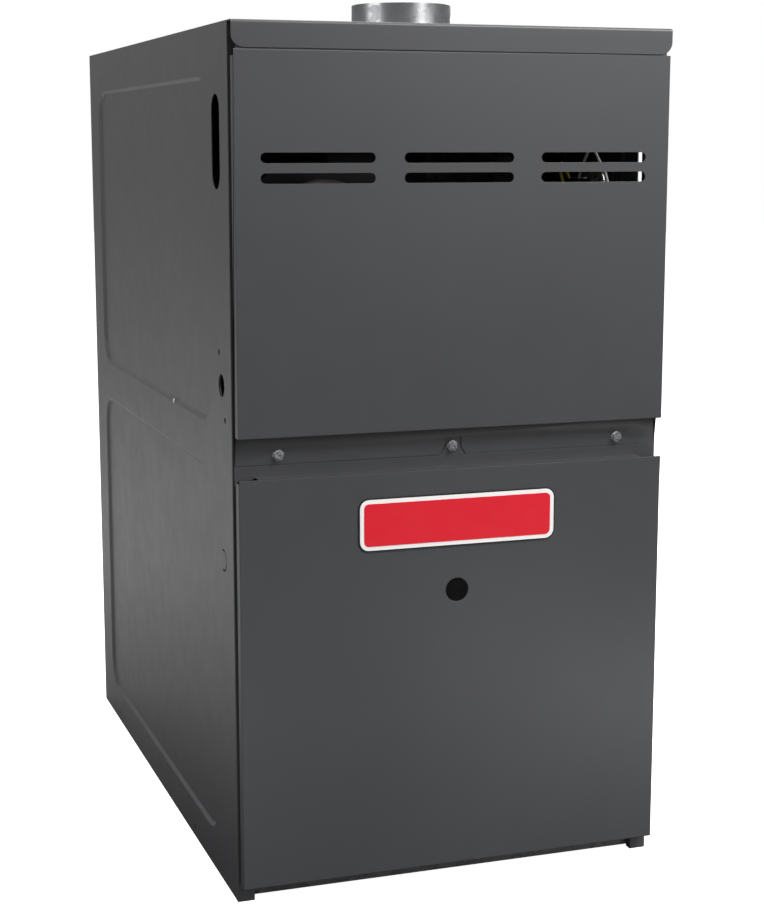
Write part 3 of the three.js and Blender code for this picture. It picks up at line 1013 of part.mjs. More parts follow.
/** The burner rack: floor, roof and two cheeks of sheet, two cross plates that hold the burners, air windows below. */
function burnerRack() {
  const half = RACK_HALF_WIDTH;
  const cheeks = [-1, 1].map((side) => {
    const [inner, outer] = [side * half, side * (half + RACK_SHEET)].sort((a, b) => a - b);
    return join(
      block(inner, outer, RACK_NECK_Y, VESTIBULE_Y, RACK_FLOOR, RACK_ROOF),
      block(inner, outer, MANIFOLD_Y - RACK_ARM_REACH, RACK_NECK_Y + LAP,
        FIRST_PASS_HEIGHT - RACK_ARM_HEIGHT / 2, FIRST_PASS_HEIGHT + RACK_ARM_HEIGHT / 2));
  });
  const crossPlate = (y, radius) => cut(block(-half, half, y, y + RACK_SHEET, RACK_FLOOR, RACK_ROOF),
    ...TUBE_XS.map((x) => bar('y', radius + CLEARANCE, y - OVERRUN, y + OVERRUN, [x, FIRST_PASS_HEIGHT], BURNER_SIDES)));
  const rack = join(...cheeks,
    crossPlate(RACK_NECK_Y, BURNER_TUBE_RADIUS), crossPlate(RACK_HEAD_Y, BURNER_HEAD_RADIUS),
    block(-half, half, RACK_NECK_Y, VESTIBULE_Y, RACK_FLOOR, RACK_FLOOR + RACK_SHEET),
    block(-half, half, RACK_NECK_Y, VESTIBULE_Y, RACK_ROOF - RACK_SHEET, RACK_ROOF));
  const windows = TUBE_XS.map((x) => prismZ(roundedRectangle(x, (RACK_NECK_Y + RACK_HEAD_Y) / 2, RACK_WINDOW_WIDTH,
    RACK_HEAD_Y - RACK_NECK_Y - 2 * RACK_WINDOW_MARGIN, RACK_WINDOW_CORNER), RACK_FLOOR - OVERRUN, RACK_FLOOR + OVERRUN));
  const ports = [-1, 1].map((side) => bar('x', RACK_PORT_RADIUS, side * half - OVERRUN, side * half + OVERRUN,
    [IGNITER_Y, FIRST_PASS_HEIGHT], 12));
  return cut(rack, ...windows, ...ports);
}

/** The gas manifold: a capped pipe between the rack's arms, with a riser to the valve. */
function gasManifold() {
  const half = RACK_HALF_WIDTH - CLEARANCE;
  const caps = [-1, 1].map((side) => {
    const [low, high] = [side * half, side * (half - MANIFOLD_CAP.length)].sort((a, b) => a - b);
    return bar('x', MANIFOLD_RADIUS + MANIFOLD_CAP.rise, low, high, [MANIFOLD_Y, FIRST_PASS_HEIGHT]);
  });
  const { width, depth, corner, thickness } = MANIFOLD_FLANGE;
  const flange = prismZ(roundedRectangle(MANIFOLD_RISER_X, MANIFOLD_Y, width, depth, corner),
    VALVE_FOOT - thickness, VALVE_FOOT);
  return join(bar('x', MANIFOLD_RADIUS, -half, half, [MANIFOLD_Y, FIRST_PASS_HEIGHT]), ...caps,
    bar('z', MANIFOLD_RADIUS, FIRST_PASS_HEIGHT, VALVE_FOOT, [MANIFOLD_RISER_X, MANIFOLD_Y]), flange);
}

/** One brass orifice spud in the manifold, aimed into a burner's bell. */
function gasOrifice(x) {
  const seat = MANIFOLD_Y + MANIFOLD_RADIUS + CLEARANCE;
  const nose = bar('y', ORIFICE_NOSE_RADIUS, seat, seat + ORIFICE_LENGTH, [x, FIRST_PASS_HEIGHT], 12);
  return cut(join(hexBar(ORIFICE_HEX.radius, seat, seat + ORIFICE_HEX.length, x, FIRST_PASS_HEIGHT), nose),
    bar('y', ORIFICE_BORE.radius, seat + ORIFICE_LENGTH - ORIFICE_BORE.depth, seat + ORIFICE_LENGTH + LAP,
      [x, FIRST_PASS_HEIGHT], 8));
}

const VALVE_FRONT_Y = MANIFOLD_Y - VALVE_DEPTH / 2;

/** The gas valve: a cast body with its inlet boss, coil housing and regulator tower. */
function gasValveBody() {
  const [x, foot, back] = [MANIFOLD_RISER_X, VALVE_FOOT, MANIFOLD_Y + VALVE_DEPTH / 2];
  const [shoulder, head] = [foot + VALVE_BODY_HEIGHT, foot + VALVE_HEIGHT];
  const body = prismZ(roundedRectangle(x, MANIFOLD_Y, VALVE_WIDTH, VALVE_DEPTH, VALVE_CORNER), foot, shoulder);
  const coil = prismZ(roundedRectangle(x + VALVE_COIL.right, MANIFOLD_Y + VALVE_COIL.back, VALVE_COIL.size,
    VALVE_COIL.size, VALVE_COIL.corner), shoulder - LAP, head);
  const regulator = bar('z', VALVE_REGULATOR.radius, shoulder - LAP, head - VALVE_REGULATOR.drop,
    [x - VALVE_REGULATOR.left, MANIFOLD_Y + VALVE_REGULATOR.back], 18);
  const inlet = hexBar(VALVE_INLET.hex, back - LAP, back + VALVE_INLET.reach, x, foot + VALVE_INLET.height);
  const port = bar('y', VALVE_INLET.port, back - 2 * OVERRUN, back + 4 * OVERRUN, [x, foot + VALVE_INLET.height], 18);
  return cut(join(body, coil, regulator, inlet), port);
}

/** The valve's turning on and off knob on its front. */
function gasValveKnob() {
  const [x, z] = [MANIFOLD_RISER_X - VALVE_KNOB_LEFT, VALVE_FOOT + VALVE_INLET.height];
  const back = VALVE_FRONT_Y - CLEARANCE;
  const front = back - VALVE_KNOB_HEIGHT;
  const { width, height, rise } = VALVE_KNOB_GRIP;
  const grip = block(x - width / 2, x + width / 2, front - rise, front + LAP, z - height / 2, z + height / 2);
  return join(bar('y', VALVE_KNOB_RADIUS, front, back, [x, z], 20), grip);
}

const IGNITER_Y = VESTIBULE_Y - IGNITER_SETBACK;

/** The hot surface igniter: a ceramic block outside the rack with its element over the left burner. */
function igniter() {
  const cheek = -RACK_HALF_WIDTH - RACK_SHEET;
  const [y, z] = [IGNITER_Y, FIRST_PASS_HEIGHT];
  const { spread, half, start, end } = IGNITER_ELEMENT;
  return join(
    block(cheek - IGNITER_BLOCK.length, cheek, y - IGNITER_BLOCK.half, y + IGNITER_BLOCK.half,
      z - IGNITER_BLOCK.half, z + IGNITER_BLOCK.half),
    bar('x', IGNITER_STEM.radius, cheek - LAP, cheek + IGNITER_STEM.length, [y, z], 12),
    ...[-spread, spread].map((shift) =>
      block(cheek + start, cheek + end - LAP, y - half, y + half, z + shift - half, z + shift + half)),
    block(cheek + end - 2 * half, cheek + end, y - half, y + half, z - spread - half, z + spread + half));
}

/** The flame sensor: a rod over the right burner in a ceramic holder with its terminal. */
function flameSensor() {
  const cheek = RACK_HALF_WIDTH + RACK_SHEET;
  const [y, z] = [IGNITER_Y, FIRST_PASS_HEIGHT];
  const { thickness, half, below, above } = SENSOR_PLATE;
  return join(
    block(cheek, cheek + thickness, y - half, y + half, z - below, z + above),
    bar('x', SENSOR_STEM.radius, cheek - SENSOR_STEM.inside, cheek + SENSOR_STEM.outside, [y, z], 12),
    bar('x', SENSOR_ROD.radius, cheek - SENSOR_ROD.length, cheek - SENSOR_STEM.inside + LAP, [y, z], 8),
    block(cheek + SENSOR_TERMINAL.start, cheek + SENSOR_TERMINAL.end, y - SENSOR_TERMINAL.thickness / 2,
      y + SENSOR_TERMINAL.thickness / 2, z - SENSOR_TERMINAL.half, z + SENSOR_TERMINAL.half));
}

const ROLLOUT_Y = (RACK_NECK_Y + RACK_HEAD_Y) / 2;

/** One rollout switch on the rack's roof, bored for its reset button. */
function rolloutSwitch(x) {
  const [y, foot, head] = [ROLLOUT_Y, RACK_ROOF, RACK_ROOF + SWITCH_DISC_HEIGHT];
  const { spread, thickness, depth, height } = SWITCH_TERMINAL;
  return cut(join(
    bar('z', SWITCH_DISC_RADIUS, foot, head, [x, y], 20),
    block(x - SWITCH_BAR.width / 2, x + SWITCH_BAR.width / 2, y - SWITCH_BAR.depth / 2, y + SWITCH_BAR.depth / 2,
      foot, foot + SWITCH_BAR.thickness),
    ...[-spread, spread].map((shift) => block(x + shift - thickness / 2, x + shift + thickness / 2,
      y - depth / 2, y + depth / 2, head - LAP, head + height))),
  bar('z', RESET_BUTTON_RADIUS + CLEARANCE, foot + SWITCH_FLOOR, head + OVERRUN, [x, y], 12));
}

/** The reset button of a rollout switch. */
function resetButton(x) {
  const foot = RACK_ROOF + SWITCH_FLOOR + RESET_BUTTON_STROKE + CLEARANCE;
  return bar('z', RESET_BUTTON_RADIUS, foot, foot + RESET_BUTTON_LENGTH, [x, ROLLOUT_Y], 12);
}

/** The high limit switch on the vestibule panel, its probe among the tubes. */
function limitSwitch() {
  const [x, z, y] = [LIMIT_SWITCH_X, LIMIT_SWITCH_Z, VESTIBULE_Y];
  const { width, height, thickness } = LIMIT_SWITCH_BAR;
  return join(
    block(x - width / 2, x + width / 2, y - thickness, y, z - height / 2, z + height / 2),
    bar('y', SWITCH_DISC_RADIUS, y - SWITCH_DISC_RADIUS, y - LAP, [x, z], 20),
    bar('y', LIMIT_PROBE.radius, y - LAP, y + LIMIT_PROBE.length, [x, z], 12),
    ...[-1, 1].map((side) => block(x + side * SWITCH_TERMINAL.depth - SWITCH_TERMINAL.thickness / 2,
      x + side * SWITCH_TERMINAL.depth + SWITCH_TERMINAL.thickness / 2,
      y - SWITCH_DISC_RADIUS - SWITCH_TERMINAL.height, y - SWITCH_DISC_RADIUS + LAP,
      z - SWITCH_TERMINAL.depth / 2, z + SWITCH_TERMINAL.depth / 2)));
}

const PRESSURE_FACE_X = PRESSED_FIT_X - PRESSURE_SWITCH_GAP - PRESSURE_SWITCH_THICKNESS;

/** The pressure switch: a round diaphragm can on a bracket on the right wall. */
function pressureSwitch() {
  const [y, z] = PRESSURE_SWITCH_PLACE;
  const [face, back] = [PRESSURE_FACE_X, PRESSURE_FACE_X + PRESSURE_SWITCH_THICKNESS];
  const r = PRESSURE_SWITCH_RADIUS;
  const can = turned([[0, 0], [r - 10, 0], [r - 8, 5], [r - 1, 8], [r, 10], [r, 13], [r - 1, 15], [r - 8, 18],
    [r - 10, back - face], [0, back - face]], 'x', [face, y, z], 16);
  const { half, sheet, foot } = PRESSURE_BRACKET;
  const bracket = join(
    block(back - LAP, back + sheet, y - half, y + half, z - half, z + half),
    block(back, PRESSED_FIT_X, y - half, y - half + foot, z - half, z + half),
    block(back, PRESSED_FIT_X, y + half - foot, y + half, z - half, z + half));
  const { spread, width, thickness, rise, length } = PRESSURE_TERMINAL;
  return join(can, bracket, bar('x', PRESSURE_NIPPLE.radius, face - PRESSURE_NIPPLE.length, face + LAP, [y, z], 12),
    ...[-spread, spread].map((shift) => block(face - length, face + LAP, y + shift - width / 2, y + shift + width / 2,
      z + rise, z + rise + thickness)));
}

/** The soft hose from the pressure switch to the inducer's port. */
function pressureHose() {
  const [y, z] = PRESSURE_SWITCH_PLACE;
  const start = PRESSURE_FACE_X - PRESSURE_NIPPLE.length - CLEARANCE;
  const end = INDUCER_FRONT_Y - HOSE_PORT.length - CLEARANCE;
  const [portX, portZ] = HOSE_PORT_PLACE;
  return sweep(softRoute([
    [start, y, z], [start - 10, y, z], [start - 34, y - 8, z + 2], [start - 62, y - 16, z - 14],
    [92, y - 28, z - 26], [44, end - 40, z - 30], [6, end - 38, z - 22], [portX + 4, end - 30, portZ - 6],
    [portX, end - 14, portZ], [portX, end, portZ],
  ], 18), HOSE_RADIUS, 8);
}

const JUNCTION_FRONT_Y = FRONT_Y + JUNCTION_BOX.setback;
const JUNCTION_OPEN_X = JUNCTION_BOX.reach - INNER_FIT_X;

/** The junction box on the left wall, over the wire hole, open towards its cover. */
function junctionBox() {
  const [back, open, s] = [-INNER_FIT_X, JUNCTION_OPEN_X, CABINET_SHEET];
  const [y0, y1] = [JUNCTION_FRONT_Y, JUNCTION_FRONT_Y + JUNCTION_BOX.depth];
  const [z0, z1] = [WIRE_HOLE_HEIGHT - JUNCTION_BOX.below, WIRE_HOLE_HEIGHT + JUNCTION_BOX.above];
  return cut(block(back, open, y0, y1, z0, z1),
    block(back + s, open + OVERRUN, y0 + s, y1 - s, z0 + s, z1 - s),
    bar('x', WIRE_HOLE_RADIUS, back - OVERRUN, back + OVERRUN, [FACE_Y + WIRE_HOLE_SETBACK, WIRE_HOLE_HEIGHT],
      WIRE_HOLE_SIDES));
}

/** The junction box's cover plate with its small turning catch. */
function junctionBoxCover() {
  const { thickness, edge, knob, rise } = JUNCTION_COVER;
  const [y0, y1] = [JUNCTION_FRONT_Y - edge, JUNCTION_FRONT_Y + JUNCTION_BOX.depth + edge];
  const [open, y, z] = [JUNCTION_OPEN_X, (y0 + y1) / 2, WIRE_HOLE_HEIGHT];
  return join(
    block(open, open + thickness, y0, y1, z - JUNCTION_BOX.below - edge, z + JUNCTION_BOX.above + edge),
    block(open + thickness / 2, open + thickness + rise, y - knob / 2, y + knob / 2, z - knob / 2, z + knob / 2));
}

// ---------------------------------------------------------------- controls in the blower compartment

/** The control panel sheet, hung from the deck behind the lower door. */
function controlBracket() {
  const { left, right, foot, head, lip } = CONTROL_BRACKET;
  const y = CONTROL_PANEL_Y;
  return join(
    block(left, right, y, y + CONTROL_SHEET, foot, DECK_UNDERSIDE),
    block(left, right, y, y + head, DECK_UNDERSIDE - CONTROL_SHEET, DECK_UNDERSIDE),
    block(left, right, y, y + lip, foot, foot + CONTROL_SHEET));
}

/** The control board on four standoffs, with relays, terminals and sockets. */
function controlBoard() {
  const { left, right, foot, head } = CONTROL_BOARD;
  const back = CONTROL_PANEL_Y - BOARD_STANDOFF;
  const face = back - BOARD_THICKNESS;
  const { radius, inset } = BOARD_POST;
  const posts = [left + inset, right - inset].flatMap((x) => [foot + inset, head - inset].map((z) =>
    bar('y', radius, back - BOARD_THICKNESS / 2, CONTROL_PANEL_Y, [x, z], 10)));
  const part = (x, z, { width, height, rise }) => block(x, x + width, face - rise, face + BOARD_THICKNESS / 2, z, z + height);
  const relays = Array.from({ length: BOARD_RELAY.count }, (_, i) =>
    part(left + BOARD_RELAY.left + i * BOARD_RELAY.pitch, head - BOARD_RELAY.drop, BOARD_RELAY));
  const terminals = Array.from({ length: BOARD_TERMINAL.count }, (_, i) =>
    part(left + BOARD_TERMINAL.left + i * BOARD_TERMINAL.pitch, foot + BOARD_TERMINAL.foot, BOARD_TERMINAL));
  return join(block(left, right, face, back, foot, head), ...posts, ...relays, ...terminals,
    part(right - BOARD_SOCKET.right, foot + BOARD_SOCKET.foot, BOARD_SOCKET),
    part(left + BOARD_CHIP.left, foot + BOARD_CHIP.foot, BOARD_CHIP),
    part(left + BOARD_CONNECTOR.left, foot + BOARD_CONNECTOR.foot, BOARD_CONNECTOR));
}

/** The step-down transformer beside the board. */
function transformer() {
  const [x, z, back] = [CONTROL_BRACKET.left + TRANSFORMER.left, TRANSFORMER.height, CONTROL_PANEL_Y];
  const { half, halfHeight } = TRANSFORMER_CORE;
  const core = block(x - half, x + half, back - TRANSFORMER_CORE.front, back - TRANSFORMER_CORE.back,
    z - halfHeight, z + halfHeight);
  const winding = prismY(roundedRectangle(x, z, TRANSFORMER_WINDING.width, TRANSFORMER_WINDING.height,
    TRANSFORMER_WINDING.corner), back - TRANSFORMER_WINDING.front, back - TRANSFORMER_WINDING.back);
  const { half: footHalf, halfHeight: footHeight, sheet, front } = TRANSFORMER_FOOT;
  const feet = block(x - footHalf, x + footHalf, back - sheet, back, z - footHeight, z + footHeight);
  const cheeks = [-1, 1].map((side) => {
    const [low, high] = [x + side * half, x + side * (half + sheet)].sort((a, b) => a - b);
    return block(low, high, back - front, back, z - footHeight, z + footHeight);
  });
  return join(core, winding, feet, ...cheeks);
}

const DOOR_INSIDE_Y = FACE_Y + DOOR_SHEET;
const SWITCH_FRONT_Y = FRONT_Y + DOOR_SWITCH.setback;

/** The door safety switch, hung from the deck, bored for its plunger. */
function doorSwitchBody() {
  const { x, width, depth, tall } = DOOR_SWITCH;
  const { sheet, foot } = DOOR_SWITCH_HANGER;
  const [low, high] = [DOOR_SWITCH_HEIGHT - tall / 2, DOOR_SWITCH_HEIGHT + tall / 2];
  const [x0, x1, back] = [x - width / 2, x + width / 2, SWITCH_FRONT_Y + depth];
  return cut(join(
    block(x0, x1, SWITCH_FRONT_Y, back, low, high),
    block(x0, x1, back - LAP, back + sheet, low, DECK_UNDERSIDE),
    block(x0, x1, back, back + foot, DECK_UNDERSIDE - sheet, DECK_UNDERSIDE)),
  bar('y', PLUNGER_RADIUS + CLEARANCE, SWITCH_FRONT_Y - OVERRUN,
    SWITCH_FRONT_Y + PLUNGER_DEPTH + PLUNGER_STROKE + LAP, [x, DOOR_SWITCH_HEIGHT], 14));
}

/** The switch's plunger, pressed in by the closed lower door. */
const doorSwitchPlunger = () => bar('y', PLUNGER_RADIUS, DOOR_INSIDE_Y + CLEARANCE, SWITCH_FRONT_Y + PLUNGER_DEPTH,
  [DOOR_SWITCH.x, DOOR_SWITCH_HEIGHT], 14);

/** A lead from a high point in the vestibule down through the deck to the control board. */
function lead(start, sideStep) {
  const [x, y] = [DECK_WIRE_HOLE.x + sideStep, FACE_Y + DECK_WIRE_HOLE.setback];
  const board = CONTROL_PANEL_Y - BOARD_STANDOFF - BOARD_THICKNESS;
  const plug = [CONTROL_BOARD.right - BOARD_SOCKET.right + BOARD_SOCKET.width / 2 + sideStep,
    board - BOARD_SOCKET.rise - CLEARANCE - LEAD_RADIUS, CONTROL_BOARD.foot + BOARD_SOCKET.height];
  return sweep(softRoute([...start, [x, y, DECK_HEIGHT + 60], [x, y, DECK_HEIGHT + 6], [x, y, DECK_HEIGHT - 30],
    [x - 6, y - 12, DECK_HEIGHT - 70], [x - 60, plug[1] - 18, plug[2] + 50], [plug[0] + 14, plug[1] - 18, plug[2] + 16],
    [plug[0], plug[1] - 12, plug[2] + 2], plug], 26), LEAD_RADIUS, 6);
}

const [SWITCH_Y, SWITCH_Z] = PRESSURE_SWITCH_PLACE;

/** The white lead: from the pressure switch over its top and down the right wall. */
const whiteLead = () => lead([
  [PRESSURE_FACE_X - 8 - 1.8, SWITCH_Y - 12, SWITCH_Z + 11.5], [PRESSURE_FACE_X - 14, SWITCH_Y - 30, SWITCH_Z + 26],
  [PRESSURE_FACE_X - 8, SWITCH_Y - 38, SWITCH_Z + 42], [PRESSURE_FACE_X, SWITCH_Y - 40, SWITCH_Z + 30],
  [PRESSURE_FACE_X + 8, SWITCH_Y - 42, SWITCH_Z + 12], [PRESSURE_FACE_X + 12, SWITCH_Y - 46, SWITCH_Z - 40],
], LEAD_SPREAD);

/** The yellow lead: a loose loop out from the pressure switch, then down beside the white one. */
const yellowLead = () => lead([
  [PRESSURE_FACE_X - 8 - 1.8, SWITCH_Y + 12, SWITCH_Z + 11.5], [PRESSURE_FACE_X - 24, SWITCH_Y - 4, SWITCH_Z + 26],
  [PRESSURE_FACE_X - 40, SWITCH_Y - 32, SWITCH_Z + 22], [PRESSURE_FACE_X - 43, SWITCH_Y - 44, SWITCH_Z + 10],
  [PRESSURE_FACE_X - 34, SWITCH_Y - 52, SWITCH_Z - 14], [PRESSURE_FACE_X - 10, SWITCH_Y - 56, SWITCH_Z - 70],
], -LEAD_SPREAD);

// ---------------------------------------------------------------- doors

/** One sheet of a door, given as a front outline with holes, at a depth behind the door face. */
const doorSheet = (shape, setback) => prismY(shape, FACE_Y + setback, FACE_Y + setback + DOOR_SHEET);

const rectangle = (x0, x1, z0, z1) => new THREE.Shape([
  new THREE.Vector2(x0, z0), new THREE.Vector2(x1, z0), new THREE.Vector2(x1, z1), new THREE.Vector2(x0, z1)]);

/** The tab round the centre screw: a wide foot that narrows to a round head. */
function tabOutline() {
  const foot = APRON_JOINT_HEIGHT - LAP;
  const shape = new THREE.Shape();
  shape.moveTo(-TAB_BASE_WIDTH / 2, foot).lineTo(TAB_BASE_WIDTH / 2, foot).lineTo(TAB_HEAD_RADIUS, TAB_HEAD_HEIGHT);
  shape.absarc(0, TAB_HEAD_HEIGHT, TAB_HEAD_RADIUS, 0, Math.PI);
  return shape;
}

/** The notch that the tab stands in, cut square at its top. */
function notchOutline() {
  const [foot, head] = [APRON_JOINT_HEIGHT - LAP, TAB_HEAD_HEIGHT + TAB_HEAD_RADIUS + TAB_NOTCH_GAP];
  const [half, neck] = [TAB_BASE_WIDTH / 2 + TAB_NOTCH_GAP, TAB_HEAD_RADIUS + TAB_NOTCH_GAP];
  return new THREE.Shape([[-half, foot], [half, foot], [neck, TAB_HEAD_HEIGHT], [neck, head], [-neck, head],
    [-neck, TAB_HEAD_HEIGHT]].map(([x, z]) => new THREE.Vector2(x, z)));
}

/** Both turned-back side edges of a door. */
const sideFlanges = (foot, head) => [-1, 1].map((side) => {
  const [a, b] = [side * DOOR_HALF_WIDTH, side * (DOOR_HALF_WIDTH - DOOR_SHEET)].sort((p, q) => p - q);
  return block(a, b, FACE_Y, FACE_Y + DOOR_SIDE_FLANGE, foot, head);
});

const screwHole = (x) => bar('y', DOOR_SCREW_HOLE, APRON_Y - OVERRUN, APRON_Y + DOOR_SHEET + LAP,
  [x, DOOR_SCREW_HEIGHT], 12);

/** The upper door: louvred, its tongue behind the top plate's edge, its apron on the deck's rail. */
function upperDoor() {
  const w = DOOR_HALF_WIDTH;
  const face = rectangle(-w, w, UPPER_DOOR_BOTTOM, UPPER_DOOR_TOP);
  for (let row = 0; row < LOUVRE_ROWS; row += 1) {
    for (let i = 0; i < LOUVRES_PER_ROW; i += 1) {
      face.holes.push(roundedRectangle((i - (LOUVRES_PER_ROW - 1) / 2) * LOUVRE_PITCH_X,
        LOUVRE_TOP_ROW - row * LOUVRE_ROW_PITCH, LOUVRE_LENGTH, LOUVRE_HEIGHT, LOUVRE_HEIGHT / 2 - 0.01,
        LOUVRE_END_STEPS));
    }
  }
  const tongueSetback = CABINET_SHEET + TONGUE_CLEARANCE;
  const half = w - TONGUE_INSET;
  const tongue = join(
    doorSheet(rectangle(-half, half, UPPER_DOOR_TOP - DOOR_SHEET, UPPER_DOOR_TOP + TONGUE_HEIGHT), tongueSetback),
    block(-half, half, FACE_Y, FACE_Y + tongueSetback + DOOR_SHEET, UPPER_DOOR_TOP - DOOR_SHEET, UPPER_DOOR_TOP));
  const apron = cut(doorSheet(rectangle(-w, w, APRON_JOINT_HEIGHT + DOOR_JOINT_GAP, UPPER_DOOR_BOTTOM + DOOR_SHEET),
    APRON_SETBACK), prismY(notchOutline(), APRON_Y - OVERRUN, APRON_Y + OVERRUN),
  ...[-1, 1].map((side) => screwHole((side * DOOR_SCREW_SPREAD) / 2)));
  return join(doorSheet(face, 0), tongue, apron,
    block(-w, w, FACE_Y, APRON_Y + DOOR_SHEET, UPPER_DOOR_BOTTOM, UPPER_DOOR_BOTTOM + DOOR_SHEET),
    ...sideFlanges(UPPER_DOOR_BOTTOM, UPPER_DOOR_TOP - FLANGE_GAPS.upper));
}

/** The lower door: a plain pan with its screw tab at the top and the sight hole. */
function lowerDoor() {
  const w = DOOR_HALF_WIDTH;
  const face = rectangle(-w, w, LOWER_DOOR_BOTTOM, LOWER_DOOR_TOP);
  face.holes.push(new THREE.Path(new THREE.EllipseCurve(0, SIGHT_HOLE_HEIGHT, SIGHT_HOLE_RADIUS, SIGHT_HOLE_RADIUS)
    .getPoints(SIGHT_HOLE_SIDES).slice(0, -1)));
  const ledge = w - LEDGE_CORNER_RELIEF;
  const apron = cut(join(
    doorSheet(rectangle(-w, w, LOWER_DOOR_TOP - APRON_LAP, APRON_JOINT_HEIGHT), APRON_SETBACK),
    doorSheet(tabOutline(), APRON_SETBACK)), screwHole(0));
  const bottom = block(-w, w, FACE_Y, FACE_Y + DOOR_SIDE_FLANGE, LOWER_DOOR_BOTTOM, LOWER_DOOR_BOTTOM + DOOR_SHEET);
  const latch = block(LATCH_LIP_INSET - w, w - LATCH_LIP_INSET, FACE_Y + DOOR_SIDE_FLANGE - DOOR_SHEET, FACE_Y + DOOR_SIDE_FLANGE,
    LOWER_DOOR_BOTTOM, LOWER_DOOR_BOTTOM + LATCH_LIP_HEIGHT);
  return join(doorSheet(face, 0), apron, bottom, latch,
    block(-ledge, ledge, FACE_Y, APRON_Y + DOOR_SHEET, LOWER_DOOR_TOP - DOOR_SHEET, LOWER_DOOR_TOP),
    ...sideFlanges(LOWER_DOOR_BOTTOM, LOWER_DOOR_TOP - FLANGE_GAPS.lower));
}

/** The clear disc behind the sight hole. */
const sightGlass = () => bar('y', SIGHT_GLASS_RADIUS, DOOR_INSIDE_Y, DOOR_INSIDE_Y + SIGHT_GLASS_THICKNESS,
  [0, SIGHT_HOLE_HEIGHT], 28);

/** One hex washer head door screw, seated on the apron. */
function doorScrew(x) {
  const { radius, thickness } = DOOR_SCREW_WASHER;
  return join(bar('y', radius, APRON_Y - thickness, APRON_Y, [x, DOOR_SCREW_HEIGHT], 20),
    hexBar(DOOR_SCREW_HEX.radius, APRON_Y - DOOR_SCREW_HEX.height, APRON_Y - LAP, x, DOOR_SCREW_HEIGHT),
    bar('y', DOOR_SCREW_SHANK, APRON_Y - LAP, FRONT_Y + OVERRUN, [x, DOOR_SCREW_HEIGHT], 12));
}

// ---------------------------------------------------------------- assembly

piece('cabinet_wrapper', cabinetWrapper(), PAINT, 0.45);
piece('top_plate', topPlate(), PAINT, 0.45);
piece('flue_collar', flueCollar(), GALVANISED, 0.35, 0.9);
piece('base_pan', basePan(), GALVANISED, 0.4, 0.8);
piece('blower_deck', blowerDeck(), PAINT, 0.5);
piece('vestibule_panel', vestibulePanel(), GALVANISED, 0.4, 0.8);

['left', 'middle', 'right'].forEach((side, i) => {
  piece(`heat_tube_${side}`, heatTube(TUBE_XS[i]), ALUMINISED, 0.45, 0.8);
  piece(`burner_${side}`, burner(TUBE_XS[i]), ALUMINISED, 0.45, 0.8);
  piece(`gas_orifice_${side}`, gasOrifice(TUBE_XS[i]), 0xc9a24a, 0.35, 0.9);
});
piece('heat_exchanger_support', heatExchangerSupport(), GALVANISED, 0.4, 0.8);
piece('collector_box', collectorBox(), GALVANISED, 0.4, 0.8);
piece('inducer_housing', inducerHousing(), BLACK_PAINT, 0.5);
piece('inducer_transition', inducerTransition(), BLACK_PAINT, 0.5);
piece('inducer_motor', inducerMotor(), 0x9b8f8b, 0.5, 0.3);
piece('inducer_wheel', inducerWheel(), ALUMINISED, 0.4, 0.8);
piece('inducer_shaft', inducerShaft(), 0xc2c4c6, 0.25, 1);
piece('inducer_cooling_fan', coolingFan(), 0x2c2c2e, 0.6);
piece('burner_rack', burnerRack(), GALVANISED, 0.4, 0.8);
piece('gas_manifold', gasManifold(), 0x3a3a3b, 0.5, 0.6);
piece('gas_valve_body', gasValveBody(), 0x8d9093, 0.5, 0.7);
piece('gas_valve_knob', gasValveKnob(), 0x1c1c1d, 0.5);
piece('igniter', igniter(), 0xe6e2d8, 0.8);
piece('flame_sensor', flameSensor(), 0xe6e2d8, 0.8);
[['left', -1], ['right', 1]].forEach(([side, sign]) => {
  const x = (sign * ROLLOUT_SPREAD) / 2;
  piece(`rollout_switch_${side}`, rolloutSwitch(x), 0x2a2a2b, 0.6);
  piece(`reset_button_${side}`, resetButton(x), 0xb52a20, 0.5);
});
piece('limit_switch', limitSwitch(), 0x303031, 0.6);
piece('pressure_switch', pressureSwitch(), 0x55585a, 0.5, 0.5);
piece('pressure_hose', pressureHose(), 0x9a9c9d, 0.7);
piece('white_lead', whiteLead(), 0xe8e8e4, 0.5);
piece('yellow_lead', yellowLead(), 0xd8c64a, 0.5);
piece('junction_box', junctionBox(), GALVANISED, 0.4, 0.8);
piece('junction_box_cover', junctionBoxCover(), GALVANISED, 0.4, 0.8);

piece('blower_housing', blowerHousing(), GALVANISED, 0.4, 0.8);
piece('blower_wheel', blowerWheel(), GALVANISED, 0.4, 0.8);
piece('blower_shaft', blowerShaft(), 0xc2c4c6, 0.25, 1);
piece('blower_motor', blowerMotor(), BLACK_PAINT, 0.5);
piece('motor_mount', motorMount(), GALVANISED, 0.4, 0.8);
piece('capacitor', capacitor(), 0xb9bcbe, 0.4, 0.8);
piece('control_bracket', controlBracket(), GALVANISED, 0.4, 0.8);
piece('control_board', controlBoard(), 0x1f5a38, 0.6);
piece('transformer', transformer(), 0x6f6a62, 0.6, 0.4);
piece('door_switch_body', doorSwitchBody(), 0x1e1e1f, 0.6);
piece('door_switch_plunger', doorSwitchPlunger(), 0xe9e7e0, 0.6);

piece('upper_door', upperDoor(), PAINT, 0.45);
piece('lower_door', lowerDoor(), PAINT, 0.45);
piece('sight_glass', sightGlass(), 0x9fb4bd, 0.1);
piece('door_screw_left', doorScrew(-DOOR_SCREW_SPREAD / 2), 0xc8cacb, 0.3, 1);
piece('door_screw_centre', doorScrew(0), 0xc8cacb, 0.3, 1);
piece('door_screw_right', doorScrew(DOOR_SCREW_SPREAD / 2), 0xc8cacb, 0.3, 1);

export default root;
